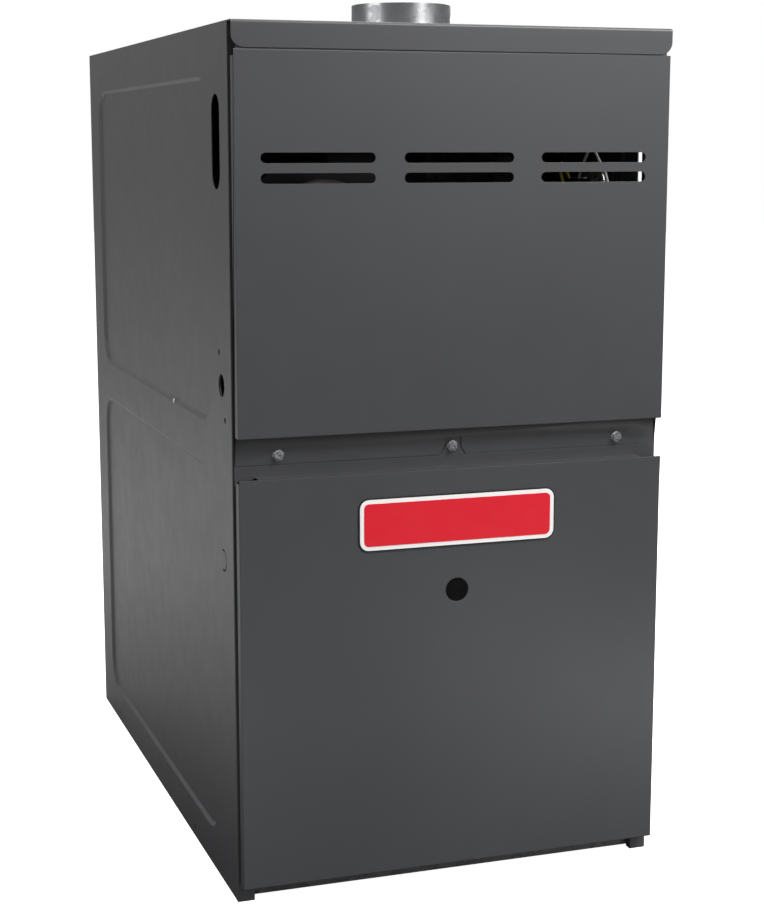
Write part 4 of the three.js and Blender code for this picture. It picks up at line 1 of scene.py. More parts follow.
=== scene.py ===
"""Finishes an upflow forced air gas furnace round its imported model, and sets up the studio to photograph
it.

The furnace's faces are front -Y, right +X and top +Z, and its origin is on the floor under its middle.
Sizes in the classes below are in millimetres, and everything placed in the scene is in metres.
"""

from __future__ import annotations

import json
import logging
import math
import random
import sys
from dataclasses import dataclass, field
from enum import Enum
from typing import Any, Optional, Sequence

import bmesh
import bpy
from mathutils import Matrix, Vector

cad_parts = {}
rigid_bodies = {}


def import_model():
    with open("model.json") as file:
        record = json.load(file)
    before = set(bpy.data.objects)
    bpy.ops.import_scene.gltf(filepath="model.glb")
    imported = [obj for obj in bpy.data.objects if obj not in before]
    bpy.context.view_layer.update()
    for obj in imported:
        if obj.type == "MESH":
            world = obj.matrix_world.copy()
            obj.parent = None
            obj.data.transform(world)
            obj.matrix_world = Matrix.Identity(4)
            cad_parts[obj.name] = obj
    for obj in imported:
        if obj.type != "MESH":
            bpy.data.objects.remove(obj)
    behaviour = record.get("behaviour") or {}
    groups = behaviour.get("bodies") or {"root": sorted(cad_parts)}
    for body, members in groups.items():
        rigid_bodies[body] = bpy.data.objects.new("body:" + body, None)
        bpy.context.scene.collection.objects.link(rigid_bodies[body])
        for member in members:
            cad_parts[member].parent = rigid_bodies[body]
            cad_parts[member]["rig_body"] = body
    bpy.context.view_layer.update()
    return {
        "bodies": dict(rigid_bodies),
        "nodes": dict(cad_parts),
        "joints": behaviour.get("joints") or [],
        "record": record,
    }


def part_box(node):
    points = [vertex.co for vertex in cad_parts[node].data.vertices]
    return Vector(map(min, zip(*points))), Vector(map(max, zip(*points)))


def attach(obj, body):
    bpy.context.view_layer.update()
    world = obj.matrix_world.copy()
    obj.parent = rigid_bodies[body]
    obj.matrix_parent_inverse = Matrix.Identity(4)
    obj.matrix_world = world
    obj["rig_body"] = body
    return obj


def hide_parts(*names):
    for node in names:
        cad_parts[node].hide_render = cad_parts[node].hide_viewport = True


LOG = logging.getLogger("furnace")
MM = 0.001
MERGE_DISTANCE = 2e-6
FLAT_LIMIT = math.radians(0.4)
SMOOTH_LIMIT = math.radians(32)
TRIO = ("left", "middle", "right")
PAIR = ("left", "right")

Point = Sequence[float]
Colour = tuple[float, float, float]
Socket = bpy.types.NodeSocket


# ---------------------------------------------------------------- finishes


@dataclass(frozen=True)
class Drift:
    """A soft random variation, and the two ends between which it moves a value."""

    scale: float
    detail: float
    low: float
    high: float


class Graph:
    """A material's nodes, built by short calls round one Principled shader."""

    def __init__(self, name: str) -> None:
        """Makes the material.

        Args:
            name: the material's name.
        """
        self.material = bpy.data.materials.new(name)
        self.material.use_nodes = True
        self.tree = self.material.node_tree
        self.shader = self.tree.nodes["Principled BSDF"]
        self.place = self.node("ShaderNodeTexCoord").outputs["Object"]

    def node(self, kind: str, **settings: Any) -> bpy.types.Node:
        """Adds a node.

        Args:
            kind: the node's type name.
            **settings: properties set on it.

        Returns:
            The new node.
        """
        made = self.tree.nodes.new(kind)
        for name, value in settings.items():
            setattr(made, name, value)
        return made

    def link(self, source: Socket, target: Socket) -> None:
        """Joins an output to an input."""
        self.tree.links.new(source, target)

    def set(self, **values: Any) -> None:
        """Sets plain values on the shader's sockets, with _ for a space in a socket's name."""
        for name, value in values.items():
            self.shader.inputs[name.replace("_", " ")].default_value = value

    def stretch(self, scale: Point) -> Socket:
        """The object's coordinates scaled on each axis, for brushed or drawn grain.

        Args:
            scale: the factor on X, Y and Z.

        Returns:
            The scaled coordinates.
        """
        mapping = self.node("ShaderNodeMapping")
        mapping.inputs["Scale"].default_value = scale
        self.link(self.place, mapping.inputs["Vector"])
        return mapping.outputs["Vector"]

    def noise(self, scale: float, detail: float = 2.0, at: Optional[Socket] = None) -> Socket:
        """Soft random variation.

        Args:
            scale: cells per metre.
            detail: how many finer layers it has.
            at: coordinates, or None for the object's own.

        Returns:
            The variation, from 0 to 1.
        """
        made = self.node("ShaderNodeTexNoise")
        made.inputs["Scale"].default_value = scale
        made.inputs["Detail"].default_value = detail
        self.link(at or self.place, made.inputs["Vector"])
        return made.outputs["Fac"]

    def crystals(self, scale: float) -> Socket:
        """A random value for each cell of a crystal pattern.

        Args:
            scale: cells per metre.

        Returns:
            The cell's value, from 0 to 1.
        """
        made = self.node("ShaderNodeTexVoronoi")
        made.inputs["Scale"].default_value = scale
        self.link(self.place, made.inputs["Vector"])
        split = self.node("ShaderNodeSeparateColor")
        self.link(made.outputs["Color"], split.inputs["Color"])
        return split.outputs["Red"]

    def spread(self, value: Socket, low: float, high: float, start: float = 0.3,
               end: float = 0.7) -> Socket:
        """Moves a value's range.

        Args:
            value: the value, whose range start to end is used.
            low: the result at start.
            high: the result at end.
            start: where the used range starts.
            end: where it ends.

        Returns:
            The moved value.
        """
        made = self.node("ShaderNodeMapRange")
        for name, number in (("From Min", start), ("From Max", end), ("To Min", low), ("To Max", high)):
            made.inputs[name].default_value = number
        self.link(value, made.inputs["Value"])
        return made.outputs["Result"]

    def blend(self, share: Socket, first: Colour, second: Colour) -> Socket:
        """Mixes two colours.

        Args:
            share: 0 for the first, 1 for the second.
            first: the first colour.
            second: the second colour.

        Returns:
            The mixed colour.
        """
        made = self.node("ShaderNodeMix", data_type="RGBA")
        made.inputs["A"].default_value = (*first, 1.0)
        made.inputs["B"].default_value = (*second, 1.0)
        self.link(share, made.inputs["Factor"])
        return made.outputs["Result"]

    def colour(self, source: Socket) -> None:
        """Links the surface's colour."""
        self.link(source, self.shader.inputs["Base Color"])

    def roughness(self, source: Socket) -> None:
        """Links the surface's roughness."""
        self.link(source, self.shader.inputs["Roughness"])

    def drifting_colour(self, colour: Colour, drift: Drift, stain: Optional[Colour] = None) -> None:
        """Links a colour that varies softly.

        Args:
            colour: the colour.
            drift: how it varies, with factors as its ends.
            stain: the second colour, where it isn't a lighter tone of the first.
        """
        share = self.spread(self.noise(drift.scale, drift.detail), 0.0, 1.0)
        self.colour(self.blend(share, scaled(colour, drift.low), stain or scaled(colour, drift.high)))

    def drifting_gloss(self, roughness: float, drift: Drift) -> None:
        """Links a roughness that varies softly.

        Args:
            roughness: the roughness.
            drift: how it varies, with what is added as its ends.
        """
        wave = self.noise(drift.scale, drift.detail)
        self.roughness(self.spread(wave, roughness + drift.low, roughness + drift.high))

    def bump(self, height: Socket, depth: float) -> None:
        """Adds a fine relief.

        Args:
            height: the relief, from 0 to 1.
            depth: its depth in millimetres.
        """
        made = self.node("ShaderNodeBump")
        made.inputs["Distance"].default_value = depth * MM
        self.link(height, made.inputs["Height"])
        self.link(made.outputs["Normal"], self.shader.inputs["Normal"])


def scaled(colour: Colour, factor: float) -> Colour:
    """A colour made lighter or darker.

    Args:
        colour: the colour.
        factor: what each channel is multiplied by.

    Returns:
        The new colour, kept at most 1.
    """
    return tuple(min(1.0, channel * factor) for channel in colour)  # type: ignore[return-value]


class Recipe:
    """A finish that can be made into a material."""

    def material(self, name: str) -> bpy.types.Material:
        """Makes the finish as a material.

        Args:
            name: the material's name.

        Returns:
            The material.
        """
        graph = Graph(name)
        self.dress(graph)
        return graph.material

    def dress(self, graph: Graph) -> None:
        """Adds the finish's own nodes to a material's graph."""
        raise NotImplementedError


@dataclass(frozen=True)
class BakedEnamel(Recipe):
    """Oven-dried paint on sheet steel: satin, with a faint orange peel."""

    colour: Colour
    roughness: float = 0.42
    peel: float = 0.012
    peel_scale: float = 620.0
    tone: Drift = Drift(5.0, 3.0, 0.95, 1.05)
    gloss: Drift = Drift(38.0, 4.0, -0.025, 0.025)

    def dress(self, graph: Graph) -> None:
        """Adds the paint's tone, its gloss and its orange peel.

        Args:
            graph: the material's nodes.
        """
        graph.drifting_colour(self.colour, self.tone)
        graph.drifting_gloss(self.roughness, self.gloss)
        graph.bump(graph.noise(self.peel_scale, 1.5), self.peel)


@dataclass(frozen=True)
class ZincCoat(Recipe):
    """Hot dipped galvanised sheet: a crystal spangle whose grains differ in tone and gloss."""

    dark: Colour = (0.17, 0.175, 0.18)
    light: Colour = (0.25, 0.255, 0.26)
    roughness: float = 0.28
    gloss_steps: Point = (0.1, -0.06)
    metallic: float = 0.92
    spangle_scale: float = 120.0
    relief_scale: float = 260.0
    relief_depth: float = 0.01

    def dress(self, graph: Graph) -> None:
        """Adds the spangle's tone and gloss, and a faint relief.

        Args:
            graph: the material's nodes.
        """
        graph.set(Metallic=self.metallic)
        grain = graph.crystals(self.spangle_scale)
        graph.colour(graph.blend(grain, self.dark, self.light))
        dull, bright = (self.roughness + step for step in self.gloss_steps)
        graph.roughness(graph.spread(grain, dull, bright, 0.0, 1.0))
        graph.bump(graph.noise(self.relief_scale, 3.0), self.relief_depth)


@dataclass(frozen=True)
class RawMetal(Recipe):
    """Bare or dipped metal: rolled, drawn, cast or turned, with its own grain and stain."""

    colour: Colour
    roughness: float = 0.35
    metallic: float = 1.0
    grain: Point = (1.0, 1.0, 1.0)
    grain_scale: float = 300.0
    grain_depth: float = 0.01
    grain_gloss: Point = (-0.07, 0.09)
    stain: Optional[Colour] = None
    tone: Drift = Drift(22.0, 5.0, 0.86, 1.1)

    def dress(self, graph: Graph) -> None:
        """Adds the metal's tone or stain, and its scratches.

        Args:
            graph: the material's nodes.
        """
        graph.set(Metallic=self.metallic)
        graph.drifting_colour(self.colour, self.tone, self.stain)
        scratches = graph.noise(self.grain_scale, 3.0, graph.stretch(self.grain))
        graph.roughness(graph.spread(scratches, *(self.roughness + step for step in self.grain_gloss)))
        graph.bump(scratches, self.grain_depth)


@dataclass(frozen=True)
class Moulding(Recipe):
    """Plastic, rubber or ceramic: one colour with a fine moulded grain."""

    colour: Colour
    roughness: float = 0.5
    grain_scale: float = 900.0
    grain_depth: float = 0.012
    tone: Drift = Drift(45.0, 3.0, 0.92, 1.08)
    gloss: Drift = Drift(70.0, 3.0, -0.04, 0.05)

    def dress(self, graph: Graph) -> None:
        """Adds the moulding's tone, its gloss and its grain.

        Args:
            graph: the material's nodes.
        """
        graph.drifting_colour(self.colour, self.tone)
        graph.drifting_gloss(self.roughness, self.gloss)
        graph.bump(graph.noise(self.grain_scale, 2.0), self.grain_depth)


@dataclass(frozen=True)
class ClearPane(Recipe):
    """A clear pane with a little dust on it."""

    tint: Colour = (0.90, 0.94, 0.95)
    index: float = 1.45
    dust: Drift = Drift(120.0, 4.0, 0.02, 0.08)
    dust_shade: float = 0.85

    def dress(self, graph: Graph) -> None:
        """Adds the clear pane and its dust.

        Args:
            graph: the material's nodes.
        """
        graph.set(Transmission_Weight=1.0, IOR=self.index)
        cover = graph.spread(graph.noise(self.dust.scale, self.dust.detail), 0.0, 1.0)
        graph.colour(graph.blend(cover, self.tint, scaled(self.tint, self.dust_shade)))
        graph.roughness(graph.spread(cover, self.dust.low, self.dust.high, 0.0, 1.0))


@dataclass(frozen=True)
class Laminations(Recipe):
    """A stack of varnished steel sheets, with its layers on edge along X."""

    colour: Colour = (0.17, 0.15, 0.13)
    edges: Point = (0.6, 1.25)
    metallic: float = 0.55
    layer_scale: float = 100.0
    waver: float = 0.6
    relief: float = 0.05
    gloss: Drift = Drift(90.0, 3.0, 0.38, 0.55)

    def dress(self, graph: Graph) -> None:
        """Adds the layers' edges and their varnish.

        Args:
            graph: the material's nodes.
        """
        graph.set(Metallic=self.metallic)
        wave = graph.node("ShaderNodeTexWave", wave_type="BANDS", bands_direction="Y")
        wave.inputs["Scale"].default_value = self.layer_scale
        wave.inputs["Distortion"].default_value = self.waver
        graph.link(graph.place, wave.inputs["Vector"])
        graph.colour(graph.blend(wave.outputs["Fac"], *(scaled(self.colour, edge) for edge in self.edges)))
        graph.drifting_gloss(0.0, self.gloss)
        graph.bump(wave.outputs["Fac"], self.relief)


class Finish(Enum):
    """The furnace's finishes. Each value is the name of its slot in the record and of its material."""

    CHARCOAL = "charcoal_paint"
    GALVANISED = "galvanised_steel"
    ALUMINISED = "aluminised_steel"
    BLACK_ENAMEL = "black_paint"
    MOTOR_PRIMER = "motor_paint"
    GROUND_STEEL = "shaft_steel"
    BLACK_PLASTIC = "black_plastic"
    BLACK_IRON = "black_iron"
    CAST_ALUMINIUM = "valve_aluminium"
    BRASS = "brass"
    CERAMIC = "ceramic"
    RED_PLASTIC = "red_plastic"
    GREY_HOSE = "hose_rubber"
    WHITE_WIRE = "white_insulation"
    YELLOW_WIRE = "yellow_insulation"
    GREEN_BOARD = "board_laminate"
    CORE_STEEL = "core_steel"
    DRAWN_CAN = "can_aluminium"
    WHITE_PLASTIC = "white_plastic"
    CLEAR_GLASS = "clear_glass"
    BRIGHT_ZINC = "zinc_screw"


RECIPES: dict[Finish, Recipe] = {
    Finish.CHARCOAL: BakedEnamel((0.048, 0.049, 0.052)),
    Finish.GALVANISED: ZincCoat(),
    Finish.ALUMINISED: RawMetal((0.40, 0.41, 0.42), 0.46, 0.85, grain_scale=80.0, stain=(0.44, 0.40, 0.35)),
    Finish.BLACK_ENAMEL: BakedEnamel((0.016, 0.0165, 0.0175), 0.36, peel=0.02, peel_scale=420.0),
    Finish.MOTOR_PRIMER: BakedEnamel((0.34, 0.29, 0.28), 0.5, peel=0.02, peel_scale=420.0),
    Finish.GROUND_STEEL: RawMetal((0.66, 0.67, 0.68), 0.2, grain=(40.0, 1.0, 1.0), grain_depth=0.004),
    Finish.BLACK_PLASTIC: Moulding((0.018, 0.018, 0.019), 0.48),
    Finish.BLACK_IRON: RawMetal((0.05, 0.05, 0.052), 0.55, 0.6, grain_scale=420.0, grain_depth=0.05),
    Finish.CAST_ALUMINIUM: RawMetal((0.52, 0.53, 0.54), 0.46, 0.95, grain_scale=900.0, grain_depth=0.05),
    Finish.BRASS: RawMetal((0.72, 0.49, 0.19), 0.26, grain=(1.0, 30.0, 1.0), grain_depth=0.004),
    Finish.CERAMIC: Moulding((0.80, 0.77, 0.70), 0.72, 500.0, 0.03),
    Finish.RED_PLASTIC: Moulding((0.56, 0.03, 0.02), 0.4),
    Finish.GREY_HOSE: Moulding((0.33, 0.34, 0.35), 0.58),
    Finish.WHITE_WIRE: Moulding((0.80, 0.80, 0.78), 0.4),
    Finish.YELLOW_WIRE: Moulding((0.74, 0.60, 0.09), 0.4),
    Finish.GREEN_BOARD: Moulding((0.012, 0.10, 0.04), 0.34, 260.0, 0.03),
    Finish.CORE_STEEL: Laminations(),
    Finish.DRAWN_CAN: RawMetal((0.62, 0.63, 0.64), 0.32, grain=(1.0, 1.0, 0.04), grain_depth=0.006),
    Finish.WHITE_PLASTIC: Moulding((0.78, 0.77, 0.74), 0.45),
    Finish.CLEAR_GLASS: ClearPane(),
    Finish.BRIGHT_ZINC: RawMetal((0.64, 0.65, 0.66), 0.26, grain_depth=0.006),
}


class PaintedShadeFinish(Enum):
    """Zinc finishes made near black as painted shade, for parts that lie in shade behind the louvres. Each
    shares the slot of its bright form.
    """

    DULL_ZINC = "dull_zinc"


class PlateColour(Enum):
    """The bare name plate's three colours."""

    EDGE = "plate_black"
    BORDER = "plate_pale"
    FIELD = "plate_red"


EVEN = Drift(45.0, 3.0, 0.99, 1.01)
OTHER_RECIPES: dict[Enum, Recipe] = {
    # Painted shade: near-black zinc for the vestibule panel and collector box, standing for the shade behind
    # the louvres.
    PaintedShadeFinish.DULL_ZINC: ZincCoat((0.035, 0.034, 0.033), (0.060, 0.058, 0.056), 0.6),
    PlateColour.EDGE: Moulding((0.006, 0.006, 0.006), 0.5),
    PlateColour.BORDER: Moulding((0.86, 0.84, 0.83), 0.32, 200.0, 0.002, EVEN),
    PlateColour.FIELD: Moulding((0.66, 0.004, 0.018), 0.42, 160.0, 0.002, EVEN),
}


# ---------------------------------------------------------------- forms


class Axis(Enum):
    """An axis, with the two others that follow it in turn."""

    X = (0, 1, 2)
    Y = (1, 2, 0)
    Z = (2, 0, 1)

    def point(self, along: float, u: float, v: float) -> Vector:
        """A point given by its places on this axis and on the two that follow it.

        Args:
            along: its place on this axis.
            u: its place on the next axis.
            v: its place on the one after that.

        Returns:
            The point.
        """
        made = Vector((0.0, 0.0, 0.0))
        for index, value in zip(self.value, (along, u, v)):
            made[index] = value
        return made


class Form:
    """A mesh under construction, in millimetres: closed shapes added one after another."""

    def __init__(self) -> None:
        """Starts empty, on the first colour."""
        self.mesh = bmesh.new()
        self.colour = 0

    def in_colour(self, index: int) -> "Form":
        """Sets which of the piece's materials the next shapes take, and returns the form."""
        self.colour = index
        return self

    def _face(self, corners: Sequence[bmesh.types.BMVert]) -> None:
        """Adds one face in the current colour."""
        self.mesh.faces.new(corners).material_index = self.colour

    def _skin(self, rings: Sequence[Sequence[Vector]], closed: bool, capped: bool) -> None:
        """Joins rings of points with faces.

        Args:
            rings: the rings, all of one count.
            closed: whether the last ring joins the first.
            capped: whether the two end rings are filled.
        """
        corners = [[self.mesh.verts.new(point) for point in ring] for ring in rings]
        count = len(rings[0])
        for low, high in zip(corners, corners[1:] + corners[:1] if closed else corners[1:]):
            for i in range(count):
                j = (i + 1) % count
                self._face((low[i], low[j], high[j], high[i]))
        if capped:
            self._face(corners[0][::-1])
            self._face(corners[-1])

    def prism(self, outline: Sequence[Point], axis: Axis, low: float, high: float,
              edge: float = 0.0) -> "Form":
        """An outline drawn out along an axis, its end rims bevelled.

        Args:
            outline: points on the two axes that follow.
            axis: the axis.
            low: where it starts.
            high: where it ends.
            edge: the bevel on its end rims.

        Returns:
            The form.
        """
        centre = [sum(p[i] for p in outline) / len(outline) for i in (0, 1)]
        reach = max(math.dist(p, centre) for p in outline)
        shrink = 1 - edge / reach
        small = [[c + (p[i] - c) * shrink for i, c in enumerate(centre)] for p in outline]
        stations = [(low, outline), (high, outline)]
        if edge:
            stations = [(low, small), (low + edge, outline), (high - edge, outline), (high, small)]
        self._skin([[axis.point(along, *p) for p in points] for along, points in stations], False, True)
        return self

    def box(self, low: Point, high: Point, edge: float = 0.0) -> "Form":
        """A box with its edges bevelled.

        Args:
            low: its lowest corner.
            high: its highest corner.
            edge: the bevel's width.

        Returns:
            The form.
        """
        (x0, y0, z0), (x1, y1, z1) = low, high
        outline = [(x0, y0), (x1, y0), (x1, y1), (x0, y1)]
        if edge:
            outline = rounded((x0 + x1) / 2, (y0 + y1) / 2, x1 - x0, y1 - y0, edge, 2)
        return self.prism(outline, Axis.Z, z0, z1, edge)

    def turned(self, profile: Sequence[Point], axis: Axis, start: Point, sides: int = 48) -> "Form":
        """A turned shape.

        Args:
            profile: pairs of radius and place along the axis, from the axis back to it, or closed on itself.
            axis: the axis it is turned about.
            start: the point that the profile's places count from.
            sides: how many flats stand for the round.

        Returns:
            The form.
        """
        origin = [start[i] for i in axis.value]
        closed = profile[0][0] > 0
        rings = []
        for radius, along in profile:
            count = sides if radius > 0 else 1
            rings.append([self.mesh.verts.new(axis.point(
                origin[0] + along, origin[1] + radius * math.cos(2 * math.pi * i / sides),
                origin[2] + radius * math.sin(2 * math.pi * i / sides))) for i in range(count)])
        for low, high in zip(rings, rings[1:] + rings[:1] if closed else rings[1:]):
            for i in range(sides):
                j = (i + 1) % sides
                corners = [low[i % len(low)], low[j % len(low)], high[j % len(high)], high[i % len(high)]]
                unique = list(dict.fromkeys(corners))
                if len(unique) > 2:
                    self._face(unique)
        return self

    def bar(self, axis: Axis, radius: float, low: float, high: float, centre: Point, sides: int = 32,
            edge: float = 0.0) -> "Form":
        """A round or many-sided bar.

        Args:
            axis: the axis it runs along.
            radius: its radius, to its corners.
            low: where it starts.
            high: where it ends.
            centre: its place on the two axes that follow.
            sides: how many sides it has.
            edge: the bevel on its rims.

        Returns:
            The form.
        """
        ring = [(centre[0] + radius * math.cos(2 * math.pi * i / sides),
                 centre[1] + radius * math.sin(2 * math.pi * i / sides)) for i in range(sides)]
        return self.prism(ring, axis, low, high, edge)

    def swept(self, route: Sequence[Vector], radius: float, sides: int = 16, wall: float = 0.0) -> "Form":
        """A bar or an open tube along a route.

        Args:
            route: the points of its centre line.
            radius: its outer radius.
            sides: how many sides it has.
            wall: the wall of an open tube, or 0 for a full bar.

        Returns:
            The form.
        """
        before, after = [route[0], *route[:-1]], [*route[1:], route[-1]]
        tangents = [(ahead - behind).normalized() for behind, ahead in zip(before, after)]
        normal = Vector((1, 0, 0)) if abs(tangents[0].x) < 0.7 else Vector((0, 0, 1))
        frames = []
        for tangent in tangents:
            normal = (normal - tangent * normal.dot(tangent)).normalized()
            frames.append((normal.copy(), tangent.cross(normal)))

        def ring(index: int, size: float) -> list[Vector]:
            """One ring of the skin at a point of the route, of this radius."""
            across, up = frames[index]
            return [route[index] + across * (size * math.cos(2 * math.pi * k / sides))
                    + up * (size * math.sin(2 * math.pi * k / sides)) for k in range(sides)]

        outer = [ring(i, radius) for i in range(len(route))]
        if wall:
            inner = [ring(i, radius - wall) for i in reversed(range(len(route)))]
            self._skin(outer + inner, True, False)
        else:
            self._skin(outer, False, True)
        return self

    def hex_screw(self, axis: Axis, seat: float, centre: Point, facing: int, size: float) -> "Form":
        """A hex washer head screw's head, standing on its seat.

        Args:
            axis: the screw's axis.
            seat: the seat's place on that axis.
            centre: the screw's place on the two axes that follow.
            facing: 1 if the head looks up the axis, -1 if down it.
            size: the hexagon's radius to its corners.

        Returns:
            The form.
        """
        washer = size * 1.28
        profile = [(0, 0), (washer, 0), (washer, size * 0.12), (washer * 0.94, size * 0.22), (0, size * 0.3)]
        start = axis.point(seat, *centre)
        self.turned([(r, facing * h) for r, h in profile], axis, start, 28)
        hexagon = [(0.0, 0.1), (1.0, 0.15), (1.0, 0.95), (0.84, 1.08), (0.5, 1.1), (0.42, 1.02), (0.0, 1.0)]
        self.turned([(size * r, facing * size * h) for r, h in hexagon], axis, start, 6)
        return self

    def add(self, other: "Form") -> "Form":
        """Adds all of another form's faces in the current colour, and uses that form up.

        Args:
            other: the other form.

        Returns:
            The form.
        """
        corners = {vert: self.mesh.verts.new(vert.co) for vert in other.mesh.verts}
        for face in other.mesh.faces:
            self._face([corners[vert] for vert in face.verts])
        other.mesh.free()
        return self

    def moved(self, turn: Matrix) -> "Form":
        """Turns or shifts all that is there so far, and returns the form."""
        bmesh.ops.transform(self.mesh, matrix=turn, verts=self.mesh.verts)
        return self

    def finished(self, name: str) -> bpy.types.Object:
        """Makes the form an object in metres, smooth across soft edges.

        Args:
            name: the object's name.

        Returns:
            The object, linked to the scene.
        """
        bmesh.ops.recalc_face_normals(self.mesh, faces=self.mesh.faces)
        bmesh.ops.scale(self.mesh, vec=(MM, MM, MM), verts=self.mesh.verts)
        soften(self.mesh)
        data = bpy.data.meshes.new(name)
        self.mesh.to_mesh(data)
        self.mesh.free()
        made = bpy.data.objects.new(name, data)
        bpy.context.scene.collection.objects.link(made)
        return made


def soften(mesh: bmesh.types.BMesh) -> None:
    """Shades a mesh smooth, with its hard edges kept hard.

    Args:
        mesh: the mesh.
    """
    for face in mesh.faces:
        face.smooth = True
    for edge in mesh.edges:
        edge.smooth = edge.calc_face_angle(0.0) < SMOOTH_LIMIT


def rounded(u: float, v: float, width: float, height: float, radius: float,
            steps: int = 8) -> list[tuple[float, float]]:
    """A rectangle with round corners.

    Args:
        u: its middle on the first axis.
        v: its middle on the second.
        width: its size on the first.
        height: its size on the second.
        radius: its corners' radius.
        steps: how many flats each corner has.

    Returns:
        Its corner points in order.
    """
    points = []
    reach, rise = width / 2 - radius, height / 2 - radius
    for corner, (a, b) in enumerate(((1, 1), (-1, 1), (-1, -1), (1, -1))):
        for i in range(steps + 1):
            angle = (corner + i / steps) * math.pi / 2
            points.append((u + a * reach + radius * math.cos(angle), v + b * rise + radius * math.sin(angle)))
    return points


def soft_route(points: Sequence[Point], steps: int = 10) -> list[Vector]:
    """A smooth line through chosen points, which turns less sharply where they lie close together.

    Args:
        points: the chosen points.
        steps: how many pieces each stretch between two of them has.

    Returns:
        The line's points.
    """
    chosen = [Vector(p) for p in points]
    ends = [chosen[0] * 2 - chosen[1], *chosen, chosen[-1] * 2 - chosen[-2]]
    route = []
    for p0, p1, p2, p3 in zip(ends, ends[1:], ends[2:], ends[3:]):
        gaps = [max((b - a).length ** 0.5, 1e-4) for a, b in ((p0, p1), (p1, p2), (p2, p3))]
        start = (p1 - p0) / gaps[0] - (p2 - p0) / (gaps[0] + gaps[1]) + (p2 - p1) / gaps[1]
        end = (p2 - p1) / gaps[1] - (p3 - p1) / (gaps[1] + gaps[2]) + (p3 - p2) / gaps[2]
        start, end = start * gaps[1], end * gaps[1]
        for i in range(steps):
            t = i / steps
            route.append(p1 * (2 * t ** 3 - 3 * t ** 2 + 1) + start * (t ** 3 - 2 * t ** 2 + t)
                         + p2 * (3 * t ** 2 - 2 * t ** 3) + end * (t ** 3 - t ** 2))
    return [*route, chosen[-1]]


# ---------------------------------------------------------------- workshop


@dataclass(frozen=True)
class EdgeBreak:
    """How a piece's sharp edges are rounded, in millimetres."""

    fold: float = 0.9
    trim: float = 0.2
    sheet_limit: float = 2.3
    trim_share: float = 0.3
    turn: float = math.radians(34)
    segments: int = 2


SHEET = EdgeBreak()
CAST = EdgeBreak(fold=1.4, trim=0.3, segments=3)
SMALL = EdgeBreak(fold=0.35, trim=0.15)


